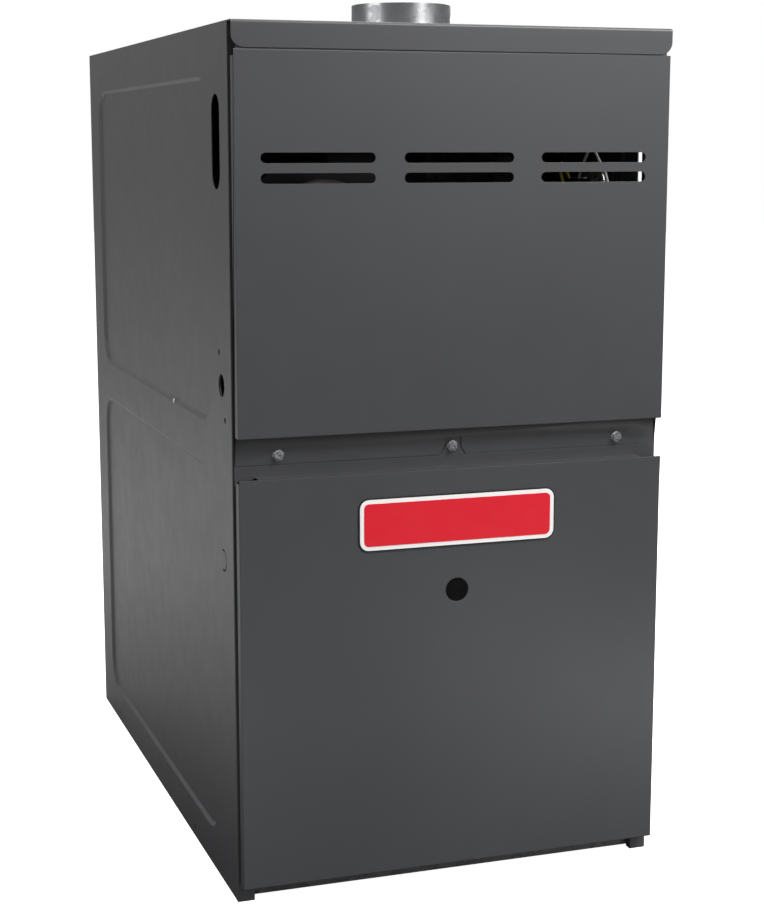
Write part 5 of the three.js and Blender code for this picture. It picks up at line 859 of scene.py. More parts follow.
class Workshop:
    """Makes pieces from the frame's nodes, gives them finishes and sets them on their bodies."""

    def __init__(self, frame: dict[str, Any]) -> None:
        """Takes the loaded frame.

        Args:
            frame: what the frame's loader returned.
        """
        self.nodes: dict[str, bpy.types.Object] = frame["nodes"]
        self.materials: dict[Enum, bpy.types.Material] = {}
        self.count = 0

    def material(self, finish: Enum) -> bpy.types.Material:
        """The material of a finish, made when it is first asked for.

        Args:
            finish: a finish, a finish darkened as painted shade, or a plate colour.

        Returns:
            The material.
        """
        if finish not in self.materials:
            recipe = RECIPES[finish] if isinstance(finish, Finish) else OTHER_RECIPES[finish]
            self.materials[finish] = recipe.material(finish.value)
        return self.materials[finish]

    def box(self, node: str) -> tuple[Vector, Vector]:
        """A node's lowest and highest corners, in millimetres."""
        low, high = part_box(node)
        return low / MM, high / MM

    def middle(self, node: str) -> Vector:
        """The middle of a node's box, in millimetres."""
        low, high = self.box(node)
        return (low + high) / 2

    def body(self, node: str) -> str:
        """The body that a node rides on."""
        return self.nodes[node]["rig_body"]

    def set_up(self, piece: bpy.types.Object, node: str, finishes: Sequence[Enum],
               stands: bool = True) -> None:
        """Finishes a piece, sets it on its node's body and reports it.

        Args:
            piece: the piece.
            node: the node that it stands for or is fixed to.
            finishes: its finishes, in the order of its mesh's colours.
            stands: whether it stands for the node.
        """
        for finish in finishes:
            piece.data.materials.append(self.material(finish))
        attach(piece, self.body(node))
        if stands:
            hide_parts(node)
        self.count += 1
        LOG.info("%3d %s on %s, %s", self.count, piece.name, self.body(node), finishes[0].value)

    def shaped(self, form: Form, name: str, node: str, *finishes: Enum, stands: bool = True) -> None:
        """Sets up a form that is made anew.

        Args:
            form: the form.
            name: the piece's name.
            node: the node that it stands for or is fixed to.
            *finishes: its finishes.
            stands: whether it stands for the node.
        """
        self.set_up(form.finished(name), node, finishes, stands)

    def round_bar(self, node: str, name: str, axis: Axis, finish: Enum, sides: int, edge: float) -> None:
        """Sets up a round bar or disc made anew over a node's box.

        Args:
            node: the node that it stands for.
            name: the piece's name.
            axis: the bar's axis.
            finish: its finish.
            sides: how many sides it has.
            edge: the bevel on its rims.
        """
        low, high = self.box(node)
        middle = (low + high) / 2
        along, u, v = axis.value
        radius, centre = (high[v] - low[v]) / 2, (middle[u], middle[v])
        form = Form().bar(axis, radius, low[along], high[along], centre, sides, edge)
        self.shaped(form, name, node, finish)

    def refined(self, node: str, finish: Enum, edges: EdgeBreak = SHEET) -> None:
        """Sets up a copy of a node, which stands for it, with its folds and cut edges rounded.

        Args:
            node: the node.
            finish: its finish.
            edges: how its edges are rounded.
        """
        mesh = bmesh.new()
        mesh.from_mesh(self.nodes[node].data)
        bmesh.ops.remove_doubles(mesh, verts=mesh.verts, dist=MERGE_DISTANCE)
        bmesh.ops.dissolve_limit(mesh, angle_limit=FLAT_LIMIT, verts=mesh.verts, edges=mesh.edges)
        bmesh.ops.recalc_face_normals(mesh, faces=mesh.faces)
        soften(mesh)
        weights = mesh.edges.layers.float.new("bevel_weight_edge")
        widths = {face.index: 2 * face.calc_area() / max(face.calc_perimeter(), MERGE_DISTANCE) / MM
                  for face in mesh.faces}
        for edge in mesh.edges:
            if len(edge.link_faces) == 2 and edge.calc_face_angle_signed(0.0) > edges.turn:
                narrow = min(widths[face.index] for face in edge.link_faces)
                wide = narrow > edges.sheet_limit
                edge[weights] = edges.fold if wide else min(edges.trim, narrow * edges.trim_share)
                edge.smooth = True
        data = bpy.data.meshes.new(f"{node}_refined")
        mesh.to_mesh(data)
        mesh.free()
        piece = bpy.data.objects.new(f"{node}_refined", data)
        bpy.context.scene.collection.objects.link(piece)
        rounding = piece.modifiers.new("rounding", "BEVEL")
        rounding.limit_method = "WEIGHT"
        rounding.width = MM
        rounding.segments = edges.segments
        rounding.use_clamp_overlap = False
        piece.modifiers.new("shading", "WEIGHTED_NORMAL").keep_sharp = True
        self.set_up(piece, node, (finish,))


# ---------------------------------------------------------------- studio


@dataclass
class Studio:
    """The camera, the pale floor, the surroundings and the soft lights."""

    place: Point = (-0.6370, -1.9913, 0.7344)
    yaw: float = 18.948
    pitch: float = 9.575
    lens: float = 72.22
    floor_radius: float = 14.0
    floor_depth: float = 0.02
    floor_shine: float = 0.2
    floor_gloss: Drift = Drift(8.0, 2.0, 0.62, 0.72)
    floor_tone: float = 0.86
    floor_glow: float = 0.95
    # painted shade on the floor, seen only in reflections: its middle, its two tones and the distances over
    # which it fades
    painted_shade_centre: Point = (1.2, -2.4, 0.0)
    painted_shade_tones: Point = (0.02, 0.75)
    painted_shade_reach: Point = (2.6, 3.9)
    sky_heights: Point = (-0.1, 0.14)
    sky_strengths: Point = (0.06, 0.55)
    lights: dict[str, tuple[Point, Point, Point, float]] = field(default_factory=lambda: {
        "key_light": ((1.35, -1.75, 2.5), (0.0, -0.2, 0.7), (1.4, 1.1), 92.0),
        "sheen_light": ((1.3, -2.6, 1.35), (0.1, -0.35, 0.85), (1.0, 0.9), 13.0),
        "low_light": ((0.45, -0.8, 0.03), (0.1, -0.36, 0.15), (0.7, 0.05), 0.7),
        "low_left_light": ((-0.35, -0.8, 0.03), (-0.12, -0.36, 0.15), (0.7, 0.05), 0.4),
        "left_light": ((-2.3, -0.3, 1.9), (-0.2, 0.0, 0.6), (1.4, 1.8), 33.0),
        "top_light": ((0.1, 0.5, 2.6), (0.0, 0.0, 0.8), (1.6, 1.6), 22.0),
        "back_light": ((1.2, 2.4, 1.6), (0.0, 0.2, 0.5), (1.6, 1.6), 26.0),
    })

    def camera(self) -> None:
        """Sets the camera where the photograph was taken from."""
        data = bpy.data.cameras.new("camera")
        data.lens = self.lens
        data.sensor_width = 36.0
        made = bpy.data.objects.new("camera", data)
        made.location = self.place
        made.rotation_euler = (math.radians(90 - self.pitch), 0.0, math.radians(-self.yaw))
        bpy.context.scene.collection.objects.link(made)
        bpy.context.scene.camera = made

    def floor(self) -> None:
        """Lays the floor: pale and glowing to the camera; to other rays it shows painted shade, dark in front
        and paler further out.
        """
        form = Form().bar(Axis.Z, self.floor_radius / MM, -self.floor_depth / MM, 0.0, (0.0, 0.0), 96)
        floor = form.finished("floor")
        graph = Graph("pale_floor")
        graph.set(Specular_IOR_Level=self.floor_shine)
        graph.drifting_gloss(0.0, self.floor_gloss)
        rays = graph.node("ShaderNodeLightPath").outputs["Is Camera Ray"]
        # Painted shade: to rays other than the camera's, the floor is dark near a point in front of the
        # furnace and paler further out, standing in for a floor in shade.
        reach = graph.node("ShaderNodeVectorMath", operation="DISTANCE")
        reach.inputs[1].default_value = self.painted_shade_centre
        graph.link(graph.place, reach.inputs[0])
        painted_shade = graph.spread(reach.outputs["Value"], *self.painted_shade_tones, *self.painted_shade_reach)
        tone = graph.node("ShaderNodeMix", data_type="FLOAT")
        tone.inputs["B"].default_value = self.floor_tone
        graph.link(rays, tone.inputs["Factor"])
        graph.link(painted_shade, tone.inputs["A"])
        graph.colour(tone.outputs["Result"])
        glow = graph.spread(rays, 0.0, self.floor_glow, 0.0, 1.0)
        graph.set(Emission_Color=(1.0, 1.0, 1.0, 1.0))
        graph.link(glow, graph.shader.inputs["Emission Strength"])
        floor.data.materials.append(graph.material)

    def surroundings(self) -> None:
        """Sets a white backdrop for the camera, and a room that is dark below for other rays."""
        world = bpy.data.worlds.new("studio")
        world.use_nodes = True
        bpy.context.scene.world = world
        tree = world.node_tree
        backdrop = tree.nodes["Background"]
        backdrop.inputs["Color"].default_value = (1.0, 1.0, 1.0, 1.0)
        backdrop.inputs["Strength"].default_value = 1.0
        room = tree.nodes.new("ShaderNodeBackground")
        direction = tree.nodes.new("ShaderNodeTexCoord").outputs["Generated"]
        split = tree.nodes.new("ShaderNodeSeparateXYZ")
        ramp = tree.nodes.new("ShaderNodeMapRange")
        settings = zip(("From Min", "From Max", "To Min", "To Max"), (*self.sky_heights, *self.sky_strengths))
        for name, value in settings:
            ramp.inputs[name].default_value = value
        mix = tree.nodes.new("ShaderNodeMixShader")
        rays = tree.nodes.new("ShaderNodeLightPath").outputs["Is Camera Ray"]
        for source, target in ((direction, split.inputs[0]), (split.outputs["Z"], ramp.inputs["Value"]),
                               (ramp.outputs["Result"], room.inputs["Strength"]), (rays, mix.inputs[0]),
                               (room.outputs[0], mix.inputs[1]), (backdrop.outputs[0], mix.inputs[2]),
                               (mix.outputs[0], tree.nodes["World Output"].inputs["Surface"])):
            tree.links.new(source, target)

    def lamps(self) -> None:
        """Hangs the soft lights."""
        for name, (place, target, size, power) in self.lights.items():
            data = bpy.data.lights.new(name, "AREA")
            data.shape = "RECTANGLE"
            data.size, data.size_y = size
            data.energy = power
            made = bpy.data.objects.new(name, data)
            made.location = place
            made.rotation_euler = (Vector(target) - Vector(place)).to_track_quat("-Z", "Y").to_euler()
            bpy.context.scene.collection.objects.link(made)

    def build(self) -> None:
        """Sets up the whole studio."""
        self.camera()
        self.floor()
        self.surroundings()
        self.lamps()
        view = bpy.context.scene.view_settings
        view.view_transform = "Standard"
        view.look = "None"
        LOG.info("studio ready")


# ---------------------------------------------------------------- cabinet


@dataclass
class Cabinet:
    """The painted wrapper and top, the sheets inside them, and the flue collar, whose sizes these are."""

    shop: Workshop
    sheet: float = 0.8
    radius: float = 50.8
    brim_radius: float = 61.8
    brim_edge: float = 0.3
    brim_screws: int = 3
    brim_screw_size: float = 3.0
    brim_screw_offset: float = 0.4
    rivet_place: Point = (-97.1, 466.0)
    rivet_radius: float = 2.6
    rivet_height: float = 1.1
    rivet_root: float = 0.3

    def sheets(self) -> None:
        """Refines the folded sheets."""
        for node in ("cabinet_wrapper", "top_plate", "blower_deck"):
            self.shop.refined(node, Finish.CHARCOAL)
        self.shop.refined("base_pan", Finish.GALVANISED)
        # Painted shade: the vestibule panel is darkened to stand for the shade behind the louvres.
        self.shop.refined("vestibule_panel", PaintedShadeFinish.DULL_ZINC)

    def collar(self) -> None:
        """Turns the flue collar, with its brim on the top plate and its cut edge curled in."""
        low, high = self.shop.box("flue_collar")
        _, deck = self.shop.box("top_plate")
        middle = (low + high) / 2
        sheet, radius, brim, edge = self.sheet, self.radius, self.brim_radius, self.brim_edge
        foot, head, inner = low.z - deck.z, high.z - deck.z, radius - sheet
        profile = [
            (inner, foot), (radius, foot), (radius, 0.0), (brim - edge, 0.0), (brim, edge),
            (brim - edge, sheet), (radius + 1.2, sheet), (radius + 0.4, sheet + 0.5), (radius, sheet + 1.4),
            (radius, head - 1.2), (radius - 0.2, head - 0.3), (radius - 0.6, head),
            (inner - 0.5, head - 0.3), (inner - 0.5, head - 1.0), (inner, head - 1.6),
        ]
        form = Form().turned(profile, Axis.Z, (middle.x, middle.y, deck.z), 128)
        self.shop.shaped(form, "flue_collar_turned", "flue_collar", Finish.GALVANISED)

    def fasteners(self) -> None:
        """Sets the brim's screws and the small rivet on the left wall."""
        middle = self.shop.middle("flue_collar")
        _, deck = self.shop.box("top_plate")
        ring = (self.radius + self.brim_radius) / 2 + self.brim_screw_offset
        form = Form()
        for i in range(self.brim_screws):
            angle = math.pi / 2 + 2 * math.pi * i / self.brim_screws
            centre = (middle.x + ring * math.cos(angle), middle.y + ring * math.sin(angle))
            form.hex_screw(Axis.Z, deck.z + self.sheet, centre, 1, self.brim_screw_size)
        self.shop.shaped(form, "collar_screws", "flue_collar", Finish.BRIGHT_ZINC, stands=False)
        wall, _ = self.shop.box("cabinet_wrapper")
        r, root, height = self.rivet_radius, self.rivet_root, self.rivet_height
        dome = [(0.0, root), (r, root), (r, -0.2), (r * 0.8, -0.7), (r * 0.4, -1.0), (0.0, -height)]
        rivet = Form().turned(dome, Axis.X, (wall.x, *self.rivet_place), 24)
        self.shop.shaped(rivet, "wall_rivet", "cabinet_wrapper", Finish.BRIGHT_ZINC, stands=False)

    def build(self) -> None:
        """Builds the cabinet."""
        self.sheets()
        self.collar()
        self.fasteners()


@dataclass
class Doors:
    """The two doors, their screws, the sight glass and the bare name plate, whose field stands proud."""

    shop: Workshop
    plate_width: float = 206.5
    plate_height: float = 53.0
    plate_centre: Point = (0.65, 373.5)
    plate_corner: float = 10.5
    plate_bevel: float = 0.25
    plate_lap: float = 0.3
    plate_edge: float = 1.5
    plate_border: float = 4.0
    plate_base: float = 0.9
    plate_rise: float = 0.5
    field_rise: float = 0.35
    pane_edge: float = 0.2
    screw_size: float = 4.5
    screw_head: float = 5.0
    shank_radius: float = 2.05
    shank_lap: float = 0.5
    shank_edge: float = 0.4

    def panels(self) -> None:
        """Refines the folded door pans."""
        for node in ("upper_door", "lower_door"):
            self.shop.refined(node, Finish.CHARCOAL)

    def screws(self) -> None:
        """Makes the three hex washer head screws."""
        for side in ("left", "centre", "right"):
            node = f"door_screw_{side}"
            low, high = self.shop.box(node)
            middle = (low + high) / 2
            seat = low.y + self.screw_head
            centre = (middle.z, middle.x)
            form = Form().hex_screw(Axis.Y, seat, centre, -1, self.screw_size)
            form.bar(Axis.Y, self.shank_radius, seat - self.shank_lap, high.y, centre, 20, self.shank_edge)
            self.shop.shaped(form, f"{node}_head", node, Finish.BRIGHT_ZINC)

    def name_plate(self) -> None:
        """Makes the bare plate: a black backing, a pale raised border and a red field, with nothing on it."""
        face, _ = self.shop.box("lower_door")
        x, z = self.plate_centre
        width, height = self.plate_width, self.plate_height

        def layer(form: Form, inset: float, back: float, front: float, colour: int) -> None:
            """Adds one layer of the plate, inset from its outline, from back out to front."""
            outline = rounded(z, x, height - 2 * inset, width - 2 * inset, self.plate_corner - inset)
            form.in_colour(colour).prism(outline, Axis.Y, face.y - front, face.y - back, self.plate_bevel)

        form = Form()
        edge, border = self.plate_edge, self.plate_border
        layer(form, 0.0, 0.0, self.plate_base, 0)
        layer(form, edge, self.plate_base - self.plate_lap, self.plate_base + self.plate_rise, 1)
        layer(form, edge + border, self.plate_base, self.plate_base + self.plate_rise + self.field_rise, 2)
        self.shop.shaped(form, "bare_name_plate", "lower_door", PlateColour.EDGE, PlateColour.BORDER,
                         PlateColour.FIELD, stands=False)

    def build(self) -> None:
        """Builds the doors."""
        self.panels()
        self.shop.round_bar("sight_glass", "sight_glass_pane", Axis.Y, Finish.CLEAR_GLASS, 64, self.pane_edge)
        self.screws()
        self.name_plate()


# ---------------------------------------------------------------- heat exchanger and flue


@dataclass
class HeatExchanger:
    """The serpentine tubes, the plate that holds them and the collector box."""

    shop: Workshop
    tube_radius: float = 22.2
    tube_wall: float = 1.2
    pass_pitch: float = 70.0
    first_pass: float = 510.0
    passes: int = 4
    rear_bend: float = 250.0
    front_bend: float = -62.0
    bend_steps: int = 14
    screw_columns: int = 5
    screw_inset: float = 4.0
    screw_sink: float = 1.0
    screw_size: float = 2.6

    def route(self, x: float, mouth: float) -> list[Vector]:
        """The centre line of one tube.

        Args:
            x: where the tube lies across the cabinet.
            mouth: the place of both its open ends.

        Returns:
            The line's points.
        """
        points = [Vector((x, mouth, self.first_pass))]
        for number in range(self.passes - 1):
            rearward = number % 2 == 0
            bend, outward = (self.rear_bend, 1) if rearward else (self.front_bend, -1)
            middle = self.first_pass + (number + 0.5) * self.pass_pitch
            for step in range(self.bend_steps + 1):
                angle = -math.pi / 2 + math.pi * step / self.bend_steps
                points.append(Vector((x, bend + outward * self.pass_pitch * math.cos(angle) / 2,
                                      middle + self.pass_pitch * math.sin(angle) / 2)))
        points.append(Vector((x, mouth, self.first_pass + (self.passes - 1) * self.pass_pitch)))
        return points

    def tubes(self) -> None:
        """Bends the three tubes."""
        for side in TRIO:
            node = f"heat_tube_{side}"
            low, high = self.shop.box(node)
            form = Form().swept(self.route((low.x + high.x) / 2, low.y), self.tube_radius, 28, self.tube_wall)
            self.shop.shaped(form, f"{node}_bent", node, Finish.ALUMINISED)

    def collector_screws(self) -> None:
        """Sets the screws round the collector box's rim."""
        low, high = self.shop.box("collector_box")
        inset = self.screw_inset
        pitch = (high.x - low.x - 2 * inset) / (self.screw_columns - 1)
        form = Form()
        for column in range(self.screw_columns):
            for z in (low.z + inset, high.z - inset):
                centre = (z, low.x + inset + column * pitch)
                form.hex_screw(Axis.Y, high.y - self.screw_sink, centre, -1, self.screw_size)
        self.shop.shaped(form, "collector_screws", "collector_box", Finish.BRIGHT_ZINC, stands=False)

    def build(self) -> None:
        """Builds the heat exchanger."""
        self.tubes()
        self.shop.refined("heat_exchanger_support", Finish.GALVANISED)
        # Painted shade: the collector box is darkened to stand for the shade behind the louvres.
        self.shop.refined("collector_box", PaintedShadeFinish.DULL_ZINC)
        self.collector_screws()


@dataclass
class InducedDraft:
    """The induced draft blower: housing, wheel, shaft, motor and cooling fan."""

    shop: Workshop
    motor_bell: float = 6.0
    nose_radius: float = 18.0
    band: float = 0.6
    leg_length: float = 33.0
    leg_reach: float = 13.0
    leg_screw_place: float = 7.0
    leg_screw_size: float = 3.2
    leg_radius: float = 4.0
    leg_circle: float = 38.0
    legs: Sequence[float] = (30.0, 150.0, 270.0)
    flange_sheet: float = 1.6
    flange_rim: float = 5.0
    flange_inset: float = 14.0
    flange_screw_size: float = 1.8

    def flange_screws(self) -> None:
        """Sets the screws that hold the transition's flange on the scroll."""
        low, high = self.shop.box("inducer_transition")
        _, scroll = self.shop.box("inducer_housing")
        foot = low.z + self.flange_sheet
        form = Form()
        for x in (low.x + self.flange_rim / 2, scroll.x + self.flange_rim / 2):
            for y in (low.y + self.flange_inset, high.y - self.flange_inset):
                form.hex_screw(Axis.Z, foot, (x, y), 1, self.flange_screw_size)
        self.shop.shaped(form, "transition_screws", "inducer_transition", Finish.BRIGHT_ZINC, stands=False)

    def motor(self) -> None:
        """Turns the motor's can with its band, and its three legs."""
        low, high = self.shop.box("inducer_motor")
        axis = self.shop.middle("inducer_shaft")
        radius, length = (high.x - low.x) / 2, high.y - low.y - self.leg_reach
        band, nose, body = self.motor_bell + 9, self.nose_radius, radius - self.band
        half = [(0.0, 0.0), (nose, 4.0), (radius - 8, 5.2), (radius - 3, 7.4), (body, 10.4), (body, band)]
        front = [half[0], (nose - 3, 0.0), (nose - 1.5, 0.8), half[1], (radius - 12, 4.6), *half[2:]]
        rear = [(r, length - along) for r, along in reversed(half[1:])]
        profile = [*front, (radius, band + 0.4), (radius, length - band - 0.4), *rear,
                   (nose - 2, length), (0.0, length)]
        form = Form().turned(profile, Axis.Y, (axis.x, low.y, axis.z), 72)
        for degrees in self.legs:
            angle = math.radians(degrees)
            centre = (axis.z + self.leg_circle * math.sin(angle), axis.x + self.leg_circle * math.cos(angle))
            form.bar(Axis.Y, self.leg_radius, high.y - self.leg_length, high.y, centre, 20)
            form.hex_screw(Axis.Y, low.y + self.leg_screw_place, centre, -1, self.leg_screw_size)
        self.shop.shaped(form, "inducer_motor_can", "inducer_motor", Finish.MOTOR_PRIMER)

    def build(self) -> None:
        """Builds the draft blower."""
        self.shop.refined("inducer_housing", Finish.BLACK_ENAMEL, CAST)
        self.shop.refined("inducer_transition", Finish.BLACK_ENAMEL, CAST)
        self.flange_screws()
        self.motor()
        self.shop.refined("inducer_wheel", Finish.ALUMINISED, SMALL)
        self.shop.round_bar("inducer_shaft", "inducer_shaft_ground", Axis.Y, Finish.GROUND_STEEL, 32, 0.5)
        self.shop.refined("inducer_cooling_fan", Finish.BLACK_PLASTIC, SMALL)


# ---------------------------------------------------------------- burners and gas train


@dataclass
class GasTrain:
    """The burners in their rack, the manifold with its orifices, the valve and its knob."""

    shop: Workshop
    bell_radius: float = 21.0
    tube_radius: float = 13.5
    head_radius: float = 19.0
    wall: float = 1.2
    pipe_radius: float = 12.0
    cap_radius: float = 14.5
    cap_length: float = 14.0
    cap_edge: float = 1.2
    tee_rim: float = 1.5
    tee_half: float = 17.0
    tee_rise: float = 20.0
    flange: Point = (44.0, 34.0, 6.0)
    flange_corner: float = 6.0
    flange_edge: float = 0.6
    sleeve: float = 1.0
    knob_ribs: int = 20
    rib_depth: float = 0.5
    knob_edge: float = 0.5
    knob_skirt: float = 3.0
    grip: Point = (2.4, 4.0, 8.0)
    grip_edge: float = 0.8

    def burners(self) -> None:
        """Turns the three inshot burners: bell, venturi, tube and head."""
        bell, tube, head, wall = self.bell_radius, self.tube_radius, self.head_radius, self.wall
        for side in TRIO:
            node = f"burner_{side}"
            low, high = self.shop.box(node)
            middle, end = (low + high) / 2, high.y - low.y
            outside = [
                (bell, 0.0), (bell - 1.6, 1.6), (bell - 5, 7), (bell - 8.4, 14), (tube - 2.5, 20),
                (tube - 2.2, 27), (tube - 0.6, 36), (tube, 44), (tube, end - 38), (tube + 1.2, end - 34),
                (head - 1, end - 28), (head, end - 25), (head, end),
            ]
            inside = [(r - wall, h) for r, h in reversed(outside)]
            form = Form().turned(outside + inside, Axis.Y, (middle.x, low.y, middle.z), 40)
            self.shop.shaped(form, f"{node}_turned", node, Finish.ALUMINISED)

    def manifold(self) -> None:
        """Makes the manifold pipe with its caps, its riser and the flange under the valve."""
        low, high = self.shop.box("gas_manifold")
        pipe, cap, sleeve = self.pipe_radius, self.cap_radius, self.sleeve
        rim = cap + self.tee_rim
        x, y, z = self.shop.middle("gas_valve_body").x, (low.y + high.y) / 2, low.z + self.cap_radius
        form = Form().bar(Axis.X, pipe, low.x + sleeve, high.x - sleeve, (y, z), 40)
        form.bar(Axis.Z, pipe, z, high.z - sleeve, (x, y), 40)
        for start, end in ((low.x, low.x + self.cap_length), (high.x - self.cap_length, high.x)):
            form.bar(Axis.X, cap, start, end, (y, z), 40, self.cap_edge)
        form.bar(Axis.X, rim, x - self.tee_half, x + self.tee_half, (y, z), 40, self.tee_rim)
        form.bar(Axis.Z, rim, z, z + self.tee_rise, (x, y), 40, self.tee_rim)
        width, depth, thickness = self.flange
        outline = rounded(x, y, width, depth, self.flange_corner)
        form.prism(outline, Axis.Z, high.z - thickness, high.z, self.flange_edge)
        self.shop.shaped(form, "gas_manifold_pipe", "gas_manifold", Finish.BLACK_IRON)

    def knob(self) -> None:
        """Makes the ribbed valve knob with its finger bar."""
        low, high = self.shop.box("gas_valve_knob")
        middle, radius = (low + high) / 2, (high.x - low.x) / 2
        ring = []
        steps = self.knob_ribs * 4
        for i in range(steps):
            reach = radius - (self.rib_depth if i % 4 in (1, 2) else 0.0)
            angle = 2 * math.pi * i / steps
            ring.append((middle.z + reach * math.cos(angle), middle.x + reach * math.sin(angle)))
        form = Form().prism(ring, Axis.Y, low.y + self.knob_skirt, high.y, self.knob_edge)
        across, deep, up = self.grip
        form.box((middle.x - across, low.y, middle.z - up), (middle.x + across, low.y + deep, middle.z + up),
                 self.grip_edge)
        self.shop.shaped(form, "gas_valve_knob_ribbed", "gas_valve_knob", Finish.BLACK_PLASTIC)

    def build(self) -> None:
        """Builds the gas train."""
        self.burners()
        self.shop.refined("burner_rack", Finish.GALVANISED)
        self.manifold()
        for side in TRIO:
            self.shop.refined(f"gas_orifice_{side}", Finish.BRASS, SMALL)
        self.shop.refined("gas_valve_body", Finish.CAST_ALUMINIUM, CAST)
        self.knob()
        for node in ("igniter", "flame_sensor"):
            self.shop.refined(node, Finish.CERAMIC, SMALL)


# ---------------------------------------------------------------- safety controls and wiring


@dataclass
class SafetyControls:
    """The switches round the burners, their hose and leads, and the junction box."""

    shop: Workshop
    hose_radius: float = 4.2
    lead_radius: float = 1.5
    lead_sag: float = 18.0
    lead_step: float = 4.0
    deck_hole: Point = (186.0, -298.1)
    hose_port: Point = (-28.0, -234.4, 688.0)
    switch_front: float = -228.0
    switch_height: float = 690.0
    lead_switch: float = 191.75
    plug_place: Point = (-23.0, -312.4, 60.0)

    def hose(self) -> None:
        """Runs the pressure hose from the switch to the draft blower's port."""
        _, high = self.shop.box("pressure_hose")
        port_x, end, port_z = self.hose_port
        start, y, z = high.x, self.switch_front, self.switch_height
        route = soft_route([
            (start, y, z), (start - 10, y, z), (start - 34, y - 8, z + 2), (start - 62, y - 16, z - 14),
            (92, y - 28, z - 26), (44, end - 40, z - 30), (6, end - 38, z - 22),
            (port_x + 4, end - 30, port_z - 6), (port_x, end - 14, port_z), (port_x, end, port_z)])
        form = Form().swept(route, self.hose_radius, 20)
        self.shop.shaped(form, "pressure_hose_soft", "pressure_hose", Finish.GREY_HOSE)

    def lead(self, node: str, start: Sequence[Point], step: float, finish: Finish) -> None:
        """Runs one lead down through the deck to the control board.

        Args:
            node: the lead's node.
            start: its first points, from its switch.
            step: how far to the side it passes the deck's hole.
            finish: its finish.
        """
        _, deck = self.shop.box("blower_deck")
        board_low, board_high = self.shop.box("control_board")
        hole_x, y = self.deck_hole
        x, z = hole_x + step, deck.z
        plug_x, plug_y, plug_z = self.plug_place
        plug_x, plug_z = board_high.x + plug_x + step, board_low.z + plug_z
        route = soft_route([
            *start, (x, y, z + 60), (x, y, z + 6), (x, y, z - 30), (x - 6, y - 12, z - 70),
            (x - 60, plug_y - self.lead_sag, plug_z + 50), (plug_x + 14, plug_y - self.lead_sag, plug_z + 16),
            (plug_x, plug_y - 12, plug_z + 2), (plug_x, plug_y, plug_z)])
        self.shop.shaped(Form().swept(route, self.lead_radius, 12), f"{node}_soft", node, finish)

    def leads(self) -> None:
        """Runs the white and the yellow lead."""
        x, y, z = self.lead_switch, self.switch_front, self.switch_height
        self.lead("white_lead", [
            (x - 9.8, y - 12, z + 11.5), (x - 14, y - 30, z + 26), (x - 8, y - 38, z + 42),
            (x, y - 40, z + 30), (x + 8, y - 42, z + 12), (x + 12, y - 46, z - 40),
        ], self.lead_step, Finish.WHITE_WIRE)
        self.lead("yellow_lead", [
            (x - 9.8, y + 12, z + 11.5), (x - 24, y - 4, z + 26), (x - 40, y - 32, z + 22),
            (x - 43, y - 44, z + 10), (x - 34, y - 52, z - 14), (x - 10, y - 56, z - 70),
        ], -self.lead_step, Finish.YELLOW_WIRE)

    def reset_buttons(self) -> None:
        """Turns the two reset buttons with rounded tops."""
        for side in PAIR:
            node = f"reset_button_{side}"
            low, high = self.shop.box(node)
            middle, r = (low + high) / 2, (high.x - low.x) / 2
            profile = [(0.0, low.z), (r, low.z), (r, high.z - 1), (r * 0.9, high.z - 0.4),
                       (r * 0.6, high.z), (0.0, high.z)]
            form = Form().turned(profile, Axis.Z, (middle.x, middle.y, 0.0), 28)
            self.shop.shaped(form, f"{node}_turned", node, Finish.RED_PLASTIC)

    def build(self) -> None:
        """Builds the controls."""
        for side in PAIR:
            self.shop.refined(f"rollout_switch_{side}", Finish.BLACK_PLASTIC, SMALL)
        self.reset_buttons()
        self.shop.refined("limit_switch", Finish.BLACK_PLASTIC, SMALL)
        self.shop.refined("pressure_switch", Finish.GALVANISED, SMALL)
        self.hose()
        self.leads()
        self.shop.refined("junction_box", Finish.GALVANISED)
        self.shop.refined("junction_box_cover", Finish.GALVANISED, SMALL)


# ---------------------------------------------------------------- blower compartment


